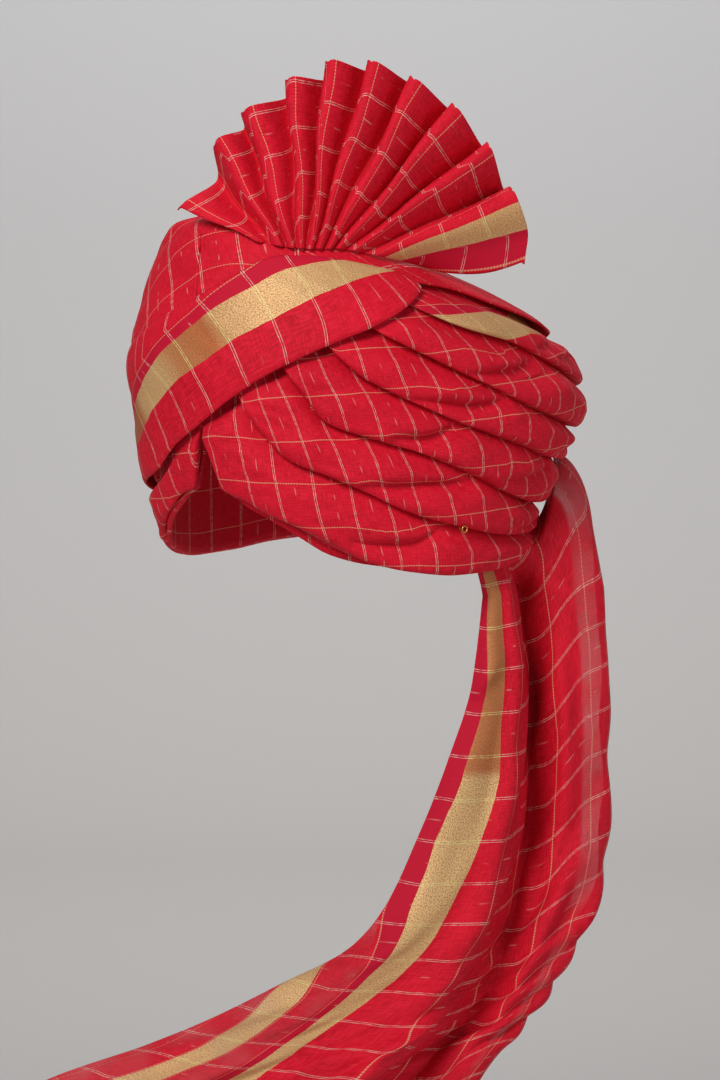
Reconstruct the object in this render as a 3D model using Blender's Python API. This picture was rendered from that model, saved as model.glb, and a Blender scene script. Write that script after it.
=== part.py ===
# Tied turban (pagri, safa): red checked cloth with a woven gold border, wound over a head.
#
# Metres, +Z up. The wearer faces -Y and the wearer's left is +X. The origin is the middle
# of the head opening at hat-band height. Angles run round the head in degrees from the
# front (0) over the wearer's left (90) to the back (180).
import math

import bmesh
import bpy
import numpy as np
from mathutils import Vector

# Sizes of the head opening
HEAD_WIDTH = 0.150
HEAD_LENGTH = 0.186
HEAD_DOME = 0.128  # inside height over the hat-band
DOME_START = 0.045  # height where the hollow starts to close

# Sizes of the wound cloth round it
SIDE_BUILD = 0.041  # cloth beside the head, each side
FRONT_BUILD = 0.024
BACK_BUILD = 0.074
TOP_BUILD = 0.034
RIM_DROP = 0.038  # lowest rim below the hat-band

# Cloth
INNER_WALL = 0.003  # first turns, against the head
SHEET = 0.0016  # doubled cloth of the crown panel and the band
FAN_WALL = 0.0022
TAIL_WALL = 0.0015
CLEARANCE = 0.0003  # gap between neighbouring pieces

# Folds
LIP_DEPTH = 0.0025  # how far a fold's lower lip lies below its crest
TUCK_DEPTH = 0.0070  # how far its upper edge goes in under the next fold
LAP_RISE = 0.010  # how far the seat between two folds climbs towards the head
COVER_DEPTH = 0.0042  # how much lower the folds lie under the panel and the band
PANEL_DEPTH = 0.0008
BAND_PROUD = 0.0015
COVER_SPREAD = 8.0  # how far ahead of a slanting edge they go down, degrees
FRONT_ANGLE = 10.0  # where the two sides cross over the forehead, degrees

# Fan
FAN_REACH = 0.110
FAN_PLEAT_DEPTH = 0.009
FAN_SEAT_DEPTH = 0.002  # how far a ridge's foot stands in front of a valley's
FAN_ANGLE = 69.0  # where the fan's middle stands on the crown
FAN_FACING = 50.0  # direction of the fan's sideways axis in plan, degrees from +X

# Tail
TAIL_DROP = 0.340  # from the hat-band to the free end
TAIL_REACH = 0.250  # widest spread of the free end

TAIL_LIFT = 0.0012  # how far it stands off the folds that it hangs over
TAIL_BILLOW = 0.009  # how far it swings out below its highest point

# Pin
PIN_WIRE = 0.0007
PIN_LOOP = 0.0042  # across the loop
PIN_ANGLE = 87.0
PIN_SINK = 0.0009  # how far its middle lies in the crease

HALF_WIDTH = HEAD_WIDTH / 2
HALF_LENGTH = HEAD_LENGTH / 2
WRAP_SIDE = HALF_WIDTH + SIDE_BUILD
WRAP_FRONT = HALF_LENGTH + FRONT_BUILD
WRAP_BACK = HALF_LENGTH + BACK_BUILD
CROWN_HEIGHT = HEAD_DOME + TOP_BUILD
WRAP_HEIGHT = RIM_DROP + CROWN_HEIGHT

# Outer form, one row for each level: height in percent of the wrap's height from its rim,
# then the shares of WRAP_SIDE, WRAP_FRONT and WRAP_BACK that it reaches there
FORM = [
    (0.0, 0.87, 0.765, 0.745),
    (9.0, 0.90, 0.795, 0.775),
    (19.0, 0.94, 0.85, 0.82),
    (29.5, 0.975, 0.89, 0.905),
    (38.5, 0.99, 0.92, 0.975),
    (49.0, 1.00, 0.95, 1.00),
    (58.0, 0.98, 0.975, 0.95),
    (68.0, 0.94, 0.955, 0.815),
    (77.5, 0.83, 0.91, 0.58),
    (86.0, 0.67, 0.875, 0.305),
    (94.0, 0.49, 0.83, 0.0),
    (97.5, 0.32, 0.795, -0.255),
    (100.0, 0.045, 0.70, -0.41),
]

# Creases between the folds. Columns are degrees away from FRONT_ANGLE to either side,
# rows are heights in percent of the wrap's height, from the rim to the top fold's edge.
CREASE_ANGLES = (0, 6, 12, 18, 26, 36, 48, 62, 78, 95, 112, 135, 180)
CREASES = {
    "rim": (41.5, 22.5, 20.5, 17.5, 14.5, 10, 4.5, 1.5, 0, 0.5, 2.5, 4, 4.5),
    "first": (55, 53, 50, 41, 32.5, 28.5, 23.5, 17.5, 13.5, 10.5, 9.5, 10, 11.5),
    "second": (64.5, 64, 63, 61.5, 58, 43, 38.5, 34, 28, 22, 18.5, 17.5, 19),
    "third": (72, 71.5, 71, 70, 68.5, 65.5, 54, 46.5, 40, 35, 31, 29.5, 29.5),
    "fourth": (79, 79, 78.5, 78, 77, 75, 70, 62, 53.5, 46, 41.5, 38.5, 38.5),
    "fifth": (85, 85, 85, 84.5, 84, 83, 81, 77.5, 68.5, 63.5, 57, 51, 47.5),
    "top": (91, 91, 91, 90.5, 90, 89.5, 88, 86.5, 84, 80, 73.5, 66.5, 61.5),
}

# Front band: angle, then the heights of its lower and upper edge in percent
BAND = [
    (-80, 15.0, 45.0),
    (-62, 18.0, 49.0),
    (-45, 21.5, 55.0),
    (-28, 25.0, 62.0),
    (-12, 29.0, 68.0),
    (2, 37.5, 74.0),
    (10, 42.0, 77.0),
    (22, 50.0, 81.5),
    (36, 58.0, 86.0),
    (50, 64.5, 88.5),
    (62, 69.0, 88.5),
    (78, 75.0, 87.0),
    (92, 80.0, 84.5),
]

# Lower edge of the crown panel: angle, then height in percent. In front it lies under the
# band, on the wearer's right it runs up over the folds to the back of the top fold.
PANEL_EDGE = [
    (-180, 62.0),
    (-140, 67.0),
    (-118, 70.0),
    (-98, 56.0),
    (-84, 38.0),
    (-62, 38.0),
    (-28, 54.0),
    (2, 66.0),
    (22, 74.0),
    (50, 81.5),
    (78, 82.0),
    (92, 81.0),
    (105, 79.5),
    (122, 73.5),
    (145, 66.5),
    (180, 62.0),
]

# Fan, one row for each pleat's ridge: angle and percent height of its foot on the crown,
# then its tip, sideways from the fan's middle, up and back, and how far the end of the
# valley after it lies below the next tip, in shares of FAN_REACH
FAN = [
    (45, 92.3, -0.68, 0.21, 0.14, 0.20),
    (53, 91.0, -0.51, 0.54, 0.12, 0.08),
    (58, 90.5, -0.37, 0.69, 0.08, 0.08),
    (62, 90.3, -0.15, 0.85, 0.04, 0.08),
    (66, 90.2, 0.05, 0.94, 0.00, 0.03),
    (70, 90.2, 0.26, 0.94, 0.00, 0.00),
    (75, 90.2, 0.47, 0.86, 0.04, 0.00),
    (80, 90.3, 0.68, 0.73, 0.10, 0.00),
    (86, 89.8, 0.86, 0.54, 0.20, 0.00),
    (94, 88.6, 0.98, 0.32, 0.32, 0.00),
    (106, 87.2, 1.07, 0.09, 0.40, 0.00),
]
FAN_HEM = (116, 85.5, 1.05, -0.06, 0.42)
FAN_HEM_SAG = 0.05

# Tail, one row for each section down it: height as a share of TAIL_DROP below the
# hat-band, then the sideways places (along the fan's sideways axis) of its left edge, its
# border crease, its inner valley and its right edge, and how far the left edge, the valley
# and the right edge stand towards the wearer's left front, in shares of TAIL_REACH
TAIL = [
    (0.15, 0.355, 0.42, 0.445, 0.636, 0.145, 0.04, -0.08),
    (0.29, 0.333, 0.44, 0.468, 0.648, 0.16, 0.02, -0.06),
    (0.42, 0.275, 0.43, 0.475, 0.65, 0.195, 0.03, -0.05),
    (0.54, 0.21, 0.41, 0.472, 0.65, 0.24, 0.055, -0.035),
    (0.64, 0.14, 0.375, 0.45, 0.635, 0.30, 0.09, -0.01),
    (0.70, 0.065, 0.34, 0.43, 0.605, 0.345, 0.125, 0.02),
    (0.77, -0.12, 0.27, 0.40, 0.55, 0.41, 0.17, 0.06),
    (0.84, -0.38, 0.18, 0.355, 0.48, 0.49, 0.22, 0.10),
    (0.91, -0.65, 0.04, 0.24, 0.39, 0.58, 0.29, 0.15),
    (1.00, -0.70, -0.06, 0.13, 0.30, 0.64, 0.36, 0.22),
]
# Where the points across the tail leave the turban, from its left edge to its right edge:
# angle, how far in under the rim, and how high up the outside in percent
TAIL_TOP = [
    (105, 0.013, 0),
    (109, 0.013, 0),
    (113, 0.012, 0),
    (117, 0.010, 0),
    (120, 0.011, 0),
    (125, 0.012, 0),
    (134, 0, 2.5),
    (143, 0, 14),
    (150, 0, 24),
    (158, 0, 30),
]


def curve(xs, ys, x):
    """Smooth value at x through the points (xs, ys), with no overshoot between them."""
    xs = np.asarray(xs, float)
    ys = np.asarray(ys, float)
    steps = np.diff(xs)
    rates = np.diff(ys) / steps
    slopes = np.zeros(len(xs))
    for i in range(1, len(xs) - 1):
        if rates[i - 1] * rates[i] > 0:
            before = 2 * steps[i] + steps[i - 1]
            after = steps[i] + 2 * steps[i - 1]
            slopes[i] = (before + after) / (before / rates[i - 1] + after / rates[i])
    slopes[0], slopes[-1] = rates[0], rates[-1]
    x = min(max(x, xs[0]), xs[-1])
    i = min(int(np.searchsorted(xs, x, side="right")) - 1, len(steps) - 1)
    t = (x - xs[i]) / steps[i]
    left = ys[i] * (1 + 2 * t) + steps[i] * slopes[i] * t
    right = ys[i + 1] * (3 - 2 * t) + steps[i] * slopes[i + 1] * (t - 1)
    return float((1 - t) ** 2 * left + t * t * right)


def column(table, number):
    return [row[number] for row in table]


def smooth_step(low, high, x):
    t = min(max((x - low) / (high - low), 0.0), 1.0)
    return t * t * (3 - 2 * t)


def height(percent):
    """Height over the hat-band from percent of the wrap's height."""
    return -RIM_DROP + percent / 100 * WRAP_HEIGHT


def form_level(z):
    """Half width, middle and half length of the outer form at height z."""
    percent = (z + RIM_DROP) / WRAP_HEIGHT * 100
    levels = column(FORM, 0)
    side = WRAP_SIDE * curve(levels, column(FORM, 1), percent)
    front = WRAP_FRONT * curve(levels, column(FORM, 2), percent)
    back = WRAP_BACK * curve(levels, column(FORM, 3), percent)
    return side, (back - front) / 2, (back + front) / 2


def hollow_share(z):
    """Share of the head opening's width that is left at height z inside."""
    rise = (z - DOME_START) / (HEAD_DOME - DOME_START)
    return math.sqrt(max(1 - max(rise, 0.0) ** 2, 0.0))


def core_level(z):
    """The same for the first turns, which the folds lie on."""
    side, middle, half = form_level(min(z + LAP_RISE * 0.6, CROWN_HEIGHT))
    filled = smooth_step(DOME_START, HEAD_DOME, z)
    inset = 0.95 * filled
    share = hollow_share(z) * (1 - filled)
    wall = INNER_WALL * (1 - filled)
    width = share * HALF_WIDTH + wall + side * inset
    length = share * HALF_LENGTH + wall + half * inset
    return width, middle * inset, length


def ring_point(level, angle, outward=0.0):
    """Plan point on a level's ellipse, moved outward square to it."""
    side, middle, half = level
    sine = math.sin(math.radians(angle))
    cosine = math.cos(math.radians(angle))
    normal = Vector((sine / max(side, 1e-4), -cosine / max(half, 1e-4))).normalized()
    return Vector((side * sine, middle - half * cosine)) + outward * normal


def form_point(angle, z, depth=0.0):
    plan = ring_point(form_level(z), angle, -depth)
    return Vector((plan.x, plan.y, z))


def core_point(angle, z, outward=0.0):
    plan = ring_point(core_level(z), angle, outward)
    return Vector((plan.x, plan.y, z))


def from_front(angle):
    """Degrees between this angle and the crossing over the forehead."""
    return abs((angle - FRONT_ANGLE + 180) % 360 - 180)


def crease_height(name, angle):
    return height(curve(CREASE_ANGLES, CREASES[name], from_front(angle)))


def signed(angle):
    return (angle + 180) % 360 - 180


def panel_edge(angle):
    return height(curve(column(PANEL_EDGE, 0), column(PANEL_EDGE, 1), signed(angle)))


def band_edge(angle, number):
    return height(curve(column(BAND, 0), column(BAND, number), signed(angle)))


def covered(angle, z):
    """1 where the panel or the band lies over the folds, 0 where they are open."""
    margin = WRAP_HEIGHT * 0.04
    edge = min(panel_edge(angle + turn) for turn in (-COVER_SPREAD, 0, COVER_SPREAD))
    under_panel = smooth_step(-margin, -margin / 8, z - edge)
    turn = signed(angle)
    inside = smooth_step(BAND[0][0] - 8, BAND[0][0], turn)
    inside *= 1 - smooth_step(BAND[-1][0], BAND[-1][0] + 8, turn)
    under_band = inside * smooth_step(-margin, -margin / 8, z - band_edge(turn, 1))
    return max(under_panel, under_band)


def seat(name, angle, depth):
    """Point on the seat between two folds, at a depth below the outer form."""
    z = crease_height(name, angle)
    outer = form_point(angle, z)
    inner = core_point(angle, z + LAP_RISE, CLEARANCE)
    across = (outer - inner).length
    return outer.lerp(inner, min(depth / across, 0.8))


def seat_points(name, angle, lift):
    """The seat from the first turns out to the tuck, lifted by half of the gap."""
    z = crease_height(name, angle)
    foot = core_point(angle, z + LAP_RISE, CLEARANCE)
    tuck = seat(name, angle, TUCK_DEPTH + COVER_DEPTH * covered(angle, z))
    rise = Vector((0, 0, lift))
    return [foot + rise, foot.lerp(tuck, 0.5) + rise, tuck + rise]


def fold_section(lower, upper, angle):
    """Closed outline of one wound fold, cut at an angle."""
    low = crease_height(lower, angle)
    high = crease_height(upper, angle)
    points = seat_points(lower, angle, CLEARANCE / 2)
    lip = seat(lower, angle, LIP_DEPTH + COVER_DEPTH * covered(angle, low))
    points.append(lip + Vector((0, 0, CLEARANCE / 2)))
    for share in (0.16, 0.34, 0.52, 0.72, 0.90):
        z = low + (high - low) * share
        depth = LIP_DEPTH * max(0.0, 1 - share / 0.35) ** 2
        depth += TUCK_DEPTH * max(0.0, (share - 0.4) / 0.6) ** 2.2
        depth += COVER_DEPTH * covered(angle, z)
        room = (form_point(angle, z) - core_point(angle, z)).length
        points.append(form_point(angle, z, min(depth, 0.7 * room)))
    points += seat_points(upper, angle, -CLEARANCE / 2)[::-1]
    return points


def turn_angles():
    """Angles round the head, closest together over the forehead."""
    half = [180 * (i / 16) ** 1.3 for i in range(17)]
    return [FRONT_ANGLE + a for a in half] + [FRONT_ANGLE - a for a in half[15:0:-1]]


def add_object(name, vertices, faces, finish):
    """One named object from a mesh, with its normals made to point out."""
    mesh = bpy.data.meshes.new(name)
    mesh.from_pydata([tuple(v) for v in vertices], [], faces)
    shape = bmesh.new()
    shape.from_mesh(mesh)
    bmesh.ops.recalc_face_normals(shape, faces=shape.faces)
    bmesh.ops.triangulate(shape, faces=shape.faces)
    shape.to_mesh(mesh)
    shape.free()
    mesh.shade_smooth()
    mesh.set_sharp_from_angle(angle=math.radians(40))
    mesh.materials.append(finish)
    piece = bpy.data.objects.new(name, mesh)
    bpy.context.scene.collection.objects.link(piece)
    return piece


def add_closed_loft(name, sections, finish):
    """A ring whose closed sections follow each other all the way round."""
    count = len(sections[0])
    vertices = [point for section in sections for point in section]
    faces = []
    for i in range(len(sections)):
        start, following = i * count, (i + 1) % len(sections) * count
        for j in range(count):
            k = (j + 1) % count
            faces.append((start + j, start + k, following + k, following + j))
    return add_object(name, vertices, faces, finish)


def add_sheet(name, rows, walls, finish):
    """A cloth wall from a grid of points and the vectors to its other side."""
    high, wide = len(rows), len(rows[0])
    near = [point for row in rows for point in row]
    far = [p + w for row, wall in zip(rows, walls) for p, w in zip(row, wall)]
    faces = []
    size = high * wide
    for i in range(high - 1):
        for j in range(wide - 1):
            a, b = i * wide + j, (i + 1) * wide + j
            faces.append((a, a + 1, b + 1, b))
            faces.append((size + a, size + b, size + b + 1, size + a + 1))
    border = [(0, j) for j in range(wide)] + [(i, wide - 1) for i in range(1, high)]
    border += [(high - 1, j) for j in range(wide - 2, -1, -1)]
    border += [(i, 0) for i in range(high - 2, 0, -1)]
    for (i, j), (k, m) in zip(border, border[1:] + border[:1]):
        a, b = i * wide + j, k * wide + m
        faces.append((a, size + a, size + b, b))
    return add_object(name, near + far, faces, finish)


def wall_vectors(rows, thickness, flip=1.0):
    """Vectors of one wall thickness, square to a grid of points."""
    high, wide = len(rows), len(rows[0])
    walls = []
    for i in range(high):
        line = []
        for j in range(wide):
            along = rows[i][min(j + 1, wide - 1)] - rows[i][max(j - 1, 0)]
            down = rows[min(i + 1, high - 1)][j] - rows[max(i - 1, 0)][j]
            line.append(along.cross(down).normalized() * thickness * flip)
        walls.append(line)
    return walls


def add_inner_wrap(finish):
    """The first turns: a hollow dome over the head, open below."""
    angles = turn_angles()
    inner_steps = 6
    top = CROWN_HEIGHT - LAP_RISE * 0.6
    rings = [[core_point(a, crease_height("rim", a) + LAP_RISE * 0.5) for a in angles]]
    for name in CREASES:
        rings.append([core_point(a, crease_height(name, a) + LAP_RISE) for a in angles])
    for rise in (0.45, 0.8):
        last = [point.z for point in rings[len(CREASES)]]
        rings.append([core_point(a, z + (top - z) * rise) for a, z in zip(angles, last)])
    inner = []
    for step in range(inner_steps + 1):
        rise = math.sin(math.radians(90) * step / (inner_steps + 0.6))
        ring = []
        for angle in angles:
            foot = crease_height("rim", angle) + LAP_RISE * 0.5
            z = foot + (HEAD_DOME - foot) * rise
            share = hollow_share(z)
            plan = ring_point((HALF_WIDTH * share, 0.0, HALF_LENGTH * share), angle)
            ring.append(Vector((plan.x, plan.y, z)))
        inner.append(ring)
    count = len(angles)
    loops = rings[::-1] + inner
    vertices = [point for ring in loops for point in ring]
    faces = []
    for i in range(len(loops) - 1):
        for j in range(count):
            k = (j + 1) % count
            a, b = i * count, (i + 1) * count
            faces.append((a + j, a + k, b + k, b + j))
    middle = sum(loops[0], Vector()) / count
    vertices += [Vector((middle.x, middle.y, top)), Vector((0, 0, HEAD_DOME))]
    last = (len(loops) - 1) * count
    for j in range(count):
        k = (j + 1) % count
        faces.append((len(vertices) - 2, k, j))
        faces.append((len(vertices) - 1, last + j, last + k))
    return add_object("inner_wrap", vertices, faces, finish)


def add_fold(name, lower, upper, finish):
    sections = [fold_section(lower, upper, angle) for angle in turn_angles()]
    return add_closed_loft(name, sections, finish)


def add_crown_panel(finish):
    """The smooth cloth over the crown, closed at the top."""
    angles = turn_angles()
    steps = 8
    rows = []
    for step in range(steps):
        rise = math.sin(math.radians(90) * step / (steps - 0.3))
        row = []
        for angle in angles:
            foot = panel_edge(angle) + 3 * CLEARANCE
            z = foot + (CROWN_HEIGHT - foot) * rise
            lip = LIP_DEPTH * max(0.0, 1 - rise / 0.12) * (1 - covered(angle, foot - SHEET))
            row.append(form_point(angle, z, PANEL_DEPTH + lip))
        rows.append(row)
    count = len(angles)
    outer = [point for row in rows for point in row]
    inner = []
    for i, row in enumerate(rows):
        for j, point in enumerate(row):
            along = row[(j + 1) % count] - row[j - 1]
            down = rows[min(i + 1, steps - 1)][j] - rows[max(i - 1, 0)][j]
            inner.append(point - along.cross(down).normalized() * SHEET)
    size = steps * count
    faces = []
    for i in range(steps - 1):
        for j in range(count):
            a, b = i * count + j, i * count + (j + 1) % count
            faces.append((a, b, b + count, a + count))
            faces.append((size + a, size + a + count, size + b + count, size + b))
    for j in range(count):
        k = (j + 1) % count
        faces.append((j, size + j, size + k, k))
    middle = sum(rows[-1], Vector()) / count
    outer_top = Vector((middle.x, middle.y, CROWN_HEIGHT))
    inner_top = outer_top - Vector((0, 0, SHEET))
    last = (steps - 1) * count
    for j in range(count):
        k = (j + 1) % count
        faces.append((2 * size, last + j, last + k))
        faces.append((2 * size + 1, size + last + k, size + last + j))
    return add_object("crown_panel", outer + inner + [outer_top, inner_top], faces, finish)


def add_front_band(finish):
    """The doubled cloth with the gold border, slanting over the forehead."""
    first, last = BAND[0][0], BAND[-1][0]
    columns = 30
    rows = []
    for step in range(7):
        across = step / 6
        row = []
        for i in range(columns + 1):
            angle = first + (last - first) * i / columns
            low, high = band_edge(angle, 1), band_edge(angle, 2)
            row.append(form_point(angle, low + (high - low) * across, -BAND_PROUD))
        rows.append(row)
    walls = [[Vector((0, 0, 0)) for _ in row] for row in rows]
    for i, row in enumerate(rows):
        for j, point in enumerate(row):
            angle = first + (last - first) * j / columns
            inner = form_point(angle, point.z, SHEET - BAND_PROUD)
            walls[i][j] = inner - point
    return add_sheet("front_band", rows, walls, finish)


def fan_axes():
    sideways = Vector((math.cos(math.radians(FAN_FACING)), math.sin(math.radians(FAN_FACING)), 0))
    return sideways, Vector((sideways.y, -sideways.x, 0))


def fan_foot(angle, percent, forward):
    return form_point(angle, height(percent), CLEARANCE - FAN_WALL - forward)


def fan_tip(side, rise, back):
    sideways, towards = fan_axes()
    middle = form_point(FAN_ANGLE, height(FAN[5][1]))
    return middle + (sideways * side + Vector((0, 0, rise)) - towards * back) * FAN_REACH


def fan_lines():
    """Foot and tip of each fold line of the fan, ridge and valley in turn, then the hem."""
    _, towards = fan_axes()
    lines = []
    for row, following in zip(FAN, FAN[1:] + [FAN_HEM]):
        tip = fan_tip(*row[2:5])
        lines.append((fan_foot(row[0], row[1], FAN_SEAT_DEPTH), tip))
        if following is not FAN_HEM:
            angle = (row[0] + following[0]) / 2
            percent = (row[1] + following[1]) / 2
            side, rise, back = following[2:5]
            valley = tip.lerp(fan_tip(side, rise - row[5], back), 0.85)
            valley -= towards * FAN_PLEAT_DEPTH
            lines.append((fan_foot(angle, percent, 0.0), valley))
    lines.append((fan_foot(FAN_HEM[0], FAN_HEM[1], 0.0), fan_tip(*FAN_HEM[2:])))
    return lines


def add_fan(finish):
    """The pleated fan on the crown."""
    _, towards = fan_axes()
    rows = []
    for step in range(6):
        out = step / 5
        row = [foot.lerp(tip, out) for foot, tip in fan_lines()]
        row[-1].z -= FAN_HEM_SAG * FAN_REACH * 4 * out * (1 - out)
        rows.append(row)
    walls = [[-towards * FAN_WALL for _ in row] for row in rows]
    return add_sheet("fan", rows, walls, finish)


def tail_section(row):
    """Points across the tail at one height, from the border's edge to the far edge."""
    drop, left, crease, valley, right, left_out, valley_out, right_out = row
    sideways, towards = fan_axes()
    spots = [
        (left, left_out),
        ((left * 2 + crease) / 3, left_out + 0.010),
        ((left + crease * 2) / 3, (left_out * 2 + valley_out) / 3 + 0.030),
        (crease, (left_out + valley_out) / 2 + 0.035),
        ((crease + valley) / 2, valley_out + 0.010),
        (valley, valley_out - 0.030),
        ((valley * 2 + right) / 3, (valley_out * 2 + right_out) / 3 + 0.010),
        ((valley + right * 2) / 3, (valley_out + right_out * 2) / 3 + 0.040),
        (right, (valley_out + right_out * 4) / 5 + 0.030),
        (right - 0.012, right_out),
    ]
    z = Vector((0, 0, -drop * TAIL_DROP))
    return [(sideways * side + towards * out) * TAIL_REACH + z for side, out in spots]


def tail_top():
    """Points where the tail comes out, under the rim and over the folds at the back."""
    points = []
    for angle, depth, climb in TAIL_TOP:
        if climb:
            points.append(form_point(angle, height(climb), -TAIL_LIFT))
        else:
            points.append(seat("rim", angle, depth) - Vector((0, 0, TAIL_WALL)))
    return points


def outside_form(point):
    """The point, moved out to stand off the folds where it would lie in them."""
    side, middle, half = form_level(point.z)
    angle = math.degrees(math.atan2(point.x / side, (middle - point.y) / half))
    rest = form_point(angle, point.z, -TAIL_LIFT)
    centre = Vector((0, middle, point.z))
    return rest if (point - centre).length < (rest - centre).length else point


def add_tail(finish):
    """The long loose end, hanging behind the left ear and sweeping forward."""
    drops = column(TAIL, 0)
    joining, steps = 4, 20
    top = tail_top()
    first = tail_section(TAIL[0])
    rows = []
    sideways, _ = fan_axes()
    highest = TAIL_TOP[-1][2]
    for step in range(joining):
        share = step / joining
        row = [start.lerp(end, share) for start, end in zip(top, first)]
        swing = TAIL_BILLOW * math.sin(math.pi * share ** 0.6)
        for i, (_, _, climb) in enumerate(TAIL_TOP):
            if climb:
                row[i] = outside_form(row[i] + sideways * swing * climb / highest)
        rows.append(row)
    for step in range(steps + 1):
        drop = drops[0] + (drops[-1] - drops[0]) * step / steps
        rows.append(tail_section([curve(drops, column(TAIL, n), drop) for n in range(8)]))
    return add_sheet("tail", rows, wall_vectors(rows, TAIL_WALL, -1.0), finish)


def add_pin(finish):
    """The small wire loop of the pin in the lowest crease."""
    z = crease_height("first", PIN_ANGLE)
    out = form_point(PIN_ANGLE, z, -1.0) - form_point(PIN_ANGLE, z)
    along = Vector((-out.y, out.x, 0))
    centre = form_point(PIN_ANGLE, z, PIN_SINK)
    sections = []
    for step in range(20):
        turn = math.radians(360 * step / 20)
        spoke = along * math.cos(turn) + Vector((0, 0, 1)) * math.sin(turn)
        middle = centre + spoke * (PIN_LOOP - PIN_WIRE) / 2
        section = []
        for corner in range(6):
            bend = math.radians(60 * corner)
            section.append(middle + (spoke * math.cos(bend) + out * math.sin(bend)) * PIN_WIRE / 2)
        sections.append(section)
    return add_closed_loft("pin", sections, finish)


def finish_material(name, colour, roughness, metallic=0.0):
    material = bpy.data.materials.new(name)
    material.use_nodes = True
    shader = material.node_tree.nodes["Principled BSDF"]
    shader.inputs["Base Color"].default_value = (*colour, 1.0)
    shader.inputs["Roughness"].default_value = roughness
    shader.inputs["Metallic"].default_value = metallic
    return material


def clear_scene():
    for old in list(bpy.data.objects):
        bpy.data.objects.remove(old, do_unlink=True)


def build():
    clear_scene()
    cloth = finish_material("red_cloth", (0.62, 0.01, 0.03), 0.7)
    border = finish_material("gold_border", (0.50, 0.33, 0.14), 0.5)
    add_inner_wrap(cloth)
    names = list(CREASES)
    for number, (lower, upper) in enumerate(zip(names, names[1:]), start=1):
        add_fold(f"fold_{number}", lower, upper, cloth)
    add_crown_panel(cloth)
    add_front_band(border)
    add_fan(cloth)
    add_tail(cloth)
    add_pin(finish_material("brass", (0.60, 0.42, 0.18), 0.35, 1.0))


build()
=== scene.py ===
# Tied turban (pagri, safa): red checked silk-cotton with a woven gold border.
# Metres, +Z up. The wearer faces -Y and the wearer's left is +X. Angles run round the crown
# in degrees from the front (0) over the wearer's left (90) to the back (180).
import math

import bpy
import numpy as np
from mathutils import Matrix, Vector


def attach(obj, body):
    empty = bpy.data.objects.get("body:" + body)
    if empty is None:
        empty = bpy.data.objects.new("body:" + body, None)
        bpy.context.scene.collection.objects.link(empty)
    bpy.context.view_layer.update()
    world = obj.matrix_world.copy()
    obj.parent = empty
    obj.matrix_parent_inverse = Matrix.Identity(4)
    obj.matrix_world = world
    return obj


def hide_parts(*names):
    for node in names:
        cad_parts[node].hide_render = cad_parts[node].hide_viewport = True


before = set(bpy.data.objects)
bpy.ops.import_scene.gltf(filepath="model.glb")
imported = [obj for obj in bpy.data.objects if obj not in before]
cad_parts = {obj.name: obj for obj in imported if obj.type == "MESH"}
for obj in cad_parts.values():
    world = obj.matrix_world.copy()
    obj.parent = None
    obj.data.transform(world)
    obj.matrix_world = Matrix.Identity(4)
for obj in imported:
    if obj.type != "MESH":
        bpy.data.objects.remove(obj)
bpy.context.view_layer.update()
print("frame loaded")

# The wound body: its opening, the outer form and how the folds lie on each other
wrap = {
    "halfWidth": 0.075,
    "halfLength": 0.093,
    "domeTop": 0.128,
    "domeStart": 0.045,
    "side": 0.116,
    "front": 0.117,
    "back": 0.167,
    "rim": -0.038,
    "crown": 0.162,
    "innerWall": 0.003,
    "gap": 0.0003,
    "lapRise": 0.010,
    "lip": 0.0034,  # how far a fold's lower edge rolls in
    "tuck": 0.0095,  # how far its upper edge sinks under the next
    "cover": 0.0042,  # how much it is pressed down under the band and the panel
    "coverSpread": 8.0,
    "coverMargin": 0.04,
    "bandFade": 8.0,
    "coreClimb": 0.6,
    "coreInset": 0.95,
    "frontAngle": 10.0,
}
wrapHeight = wrap["crown"] - wrap["rim"]

# Height in percent of the wrap from its rim, then shares of the side, front and back reach
formTable = np.array([
    (0.0, 0.87, 0.765, 0.745),
    (9.0, 0.90, 0.795, 0.775),
    (19.0, 0.94, 0.85, 0.82),
    (29.5, 0.975, 0.89, 0.905),
    (38.5, 0.99, 0.92, 0.975),
    (49.0, 1.00, 0.95, 1.00),
    (58.0, 0.98, 0.975, 0.95),
    (68.0, 0.94, 0.955, 0.815),
    (77.5, 0.83, 0.91, 0.58),
    (86.0, 0.67, 0.875, 0.305),
    (94.0, 0.49, 0.83, 0.0),
    (97.5, 0.32, 0.795, -0.255),
    (100.0, 0.045, 0.70, -0.41),
])

# Heights in percent of the creases between the folds, at angles away from the crossing
creaseAngles = (0, 6, 12, 18, 26, 36, 48, 62, 78, 95, 112, 135, 180)
creaseTable = {
    "rim": (41.5, 22.5, 20.5, 17.5, 14.5, 10, 4.5, 1.5, 0, 0.5, 2.5, 4, 4.5),
    "first": (55, 53, 50, 41, 32.5, 28.5, 23.5, 17.5, 13.5, 10.5, 9.5, 10, 11.5),
    "second": (64.5, 64, 63, 61.5, 58, 43, 38.5, 34, 28, 22, 18.5, 17.5, 19),
    "third": (72, 71.5, 71, 70, 68.5, 65.5, 54, 46.5, 40, 35, 31, 29.5, 29.5),
    "fourth": (79, 79, 78.5, 78, 77, 75, 70, 62, 53.5, 46, 41.5, 38.5, 38.5),
    "fifth": (85, 85, 85, 84.5, 84, 83, 81, 77.5, 68.5, 63.5, 57, 51, 47.5),
    "top": (91, 91, 91, 90.5, 90, 89.5, 88, 86.5, 84, 80, 73.5, 66.5, 61.5),
}

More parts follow.
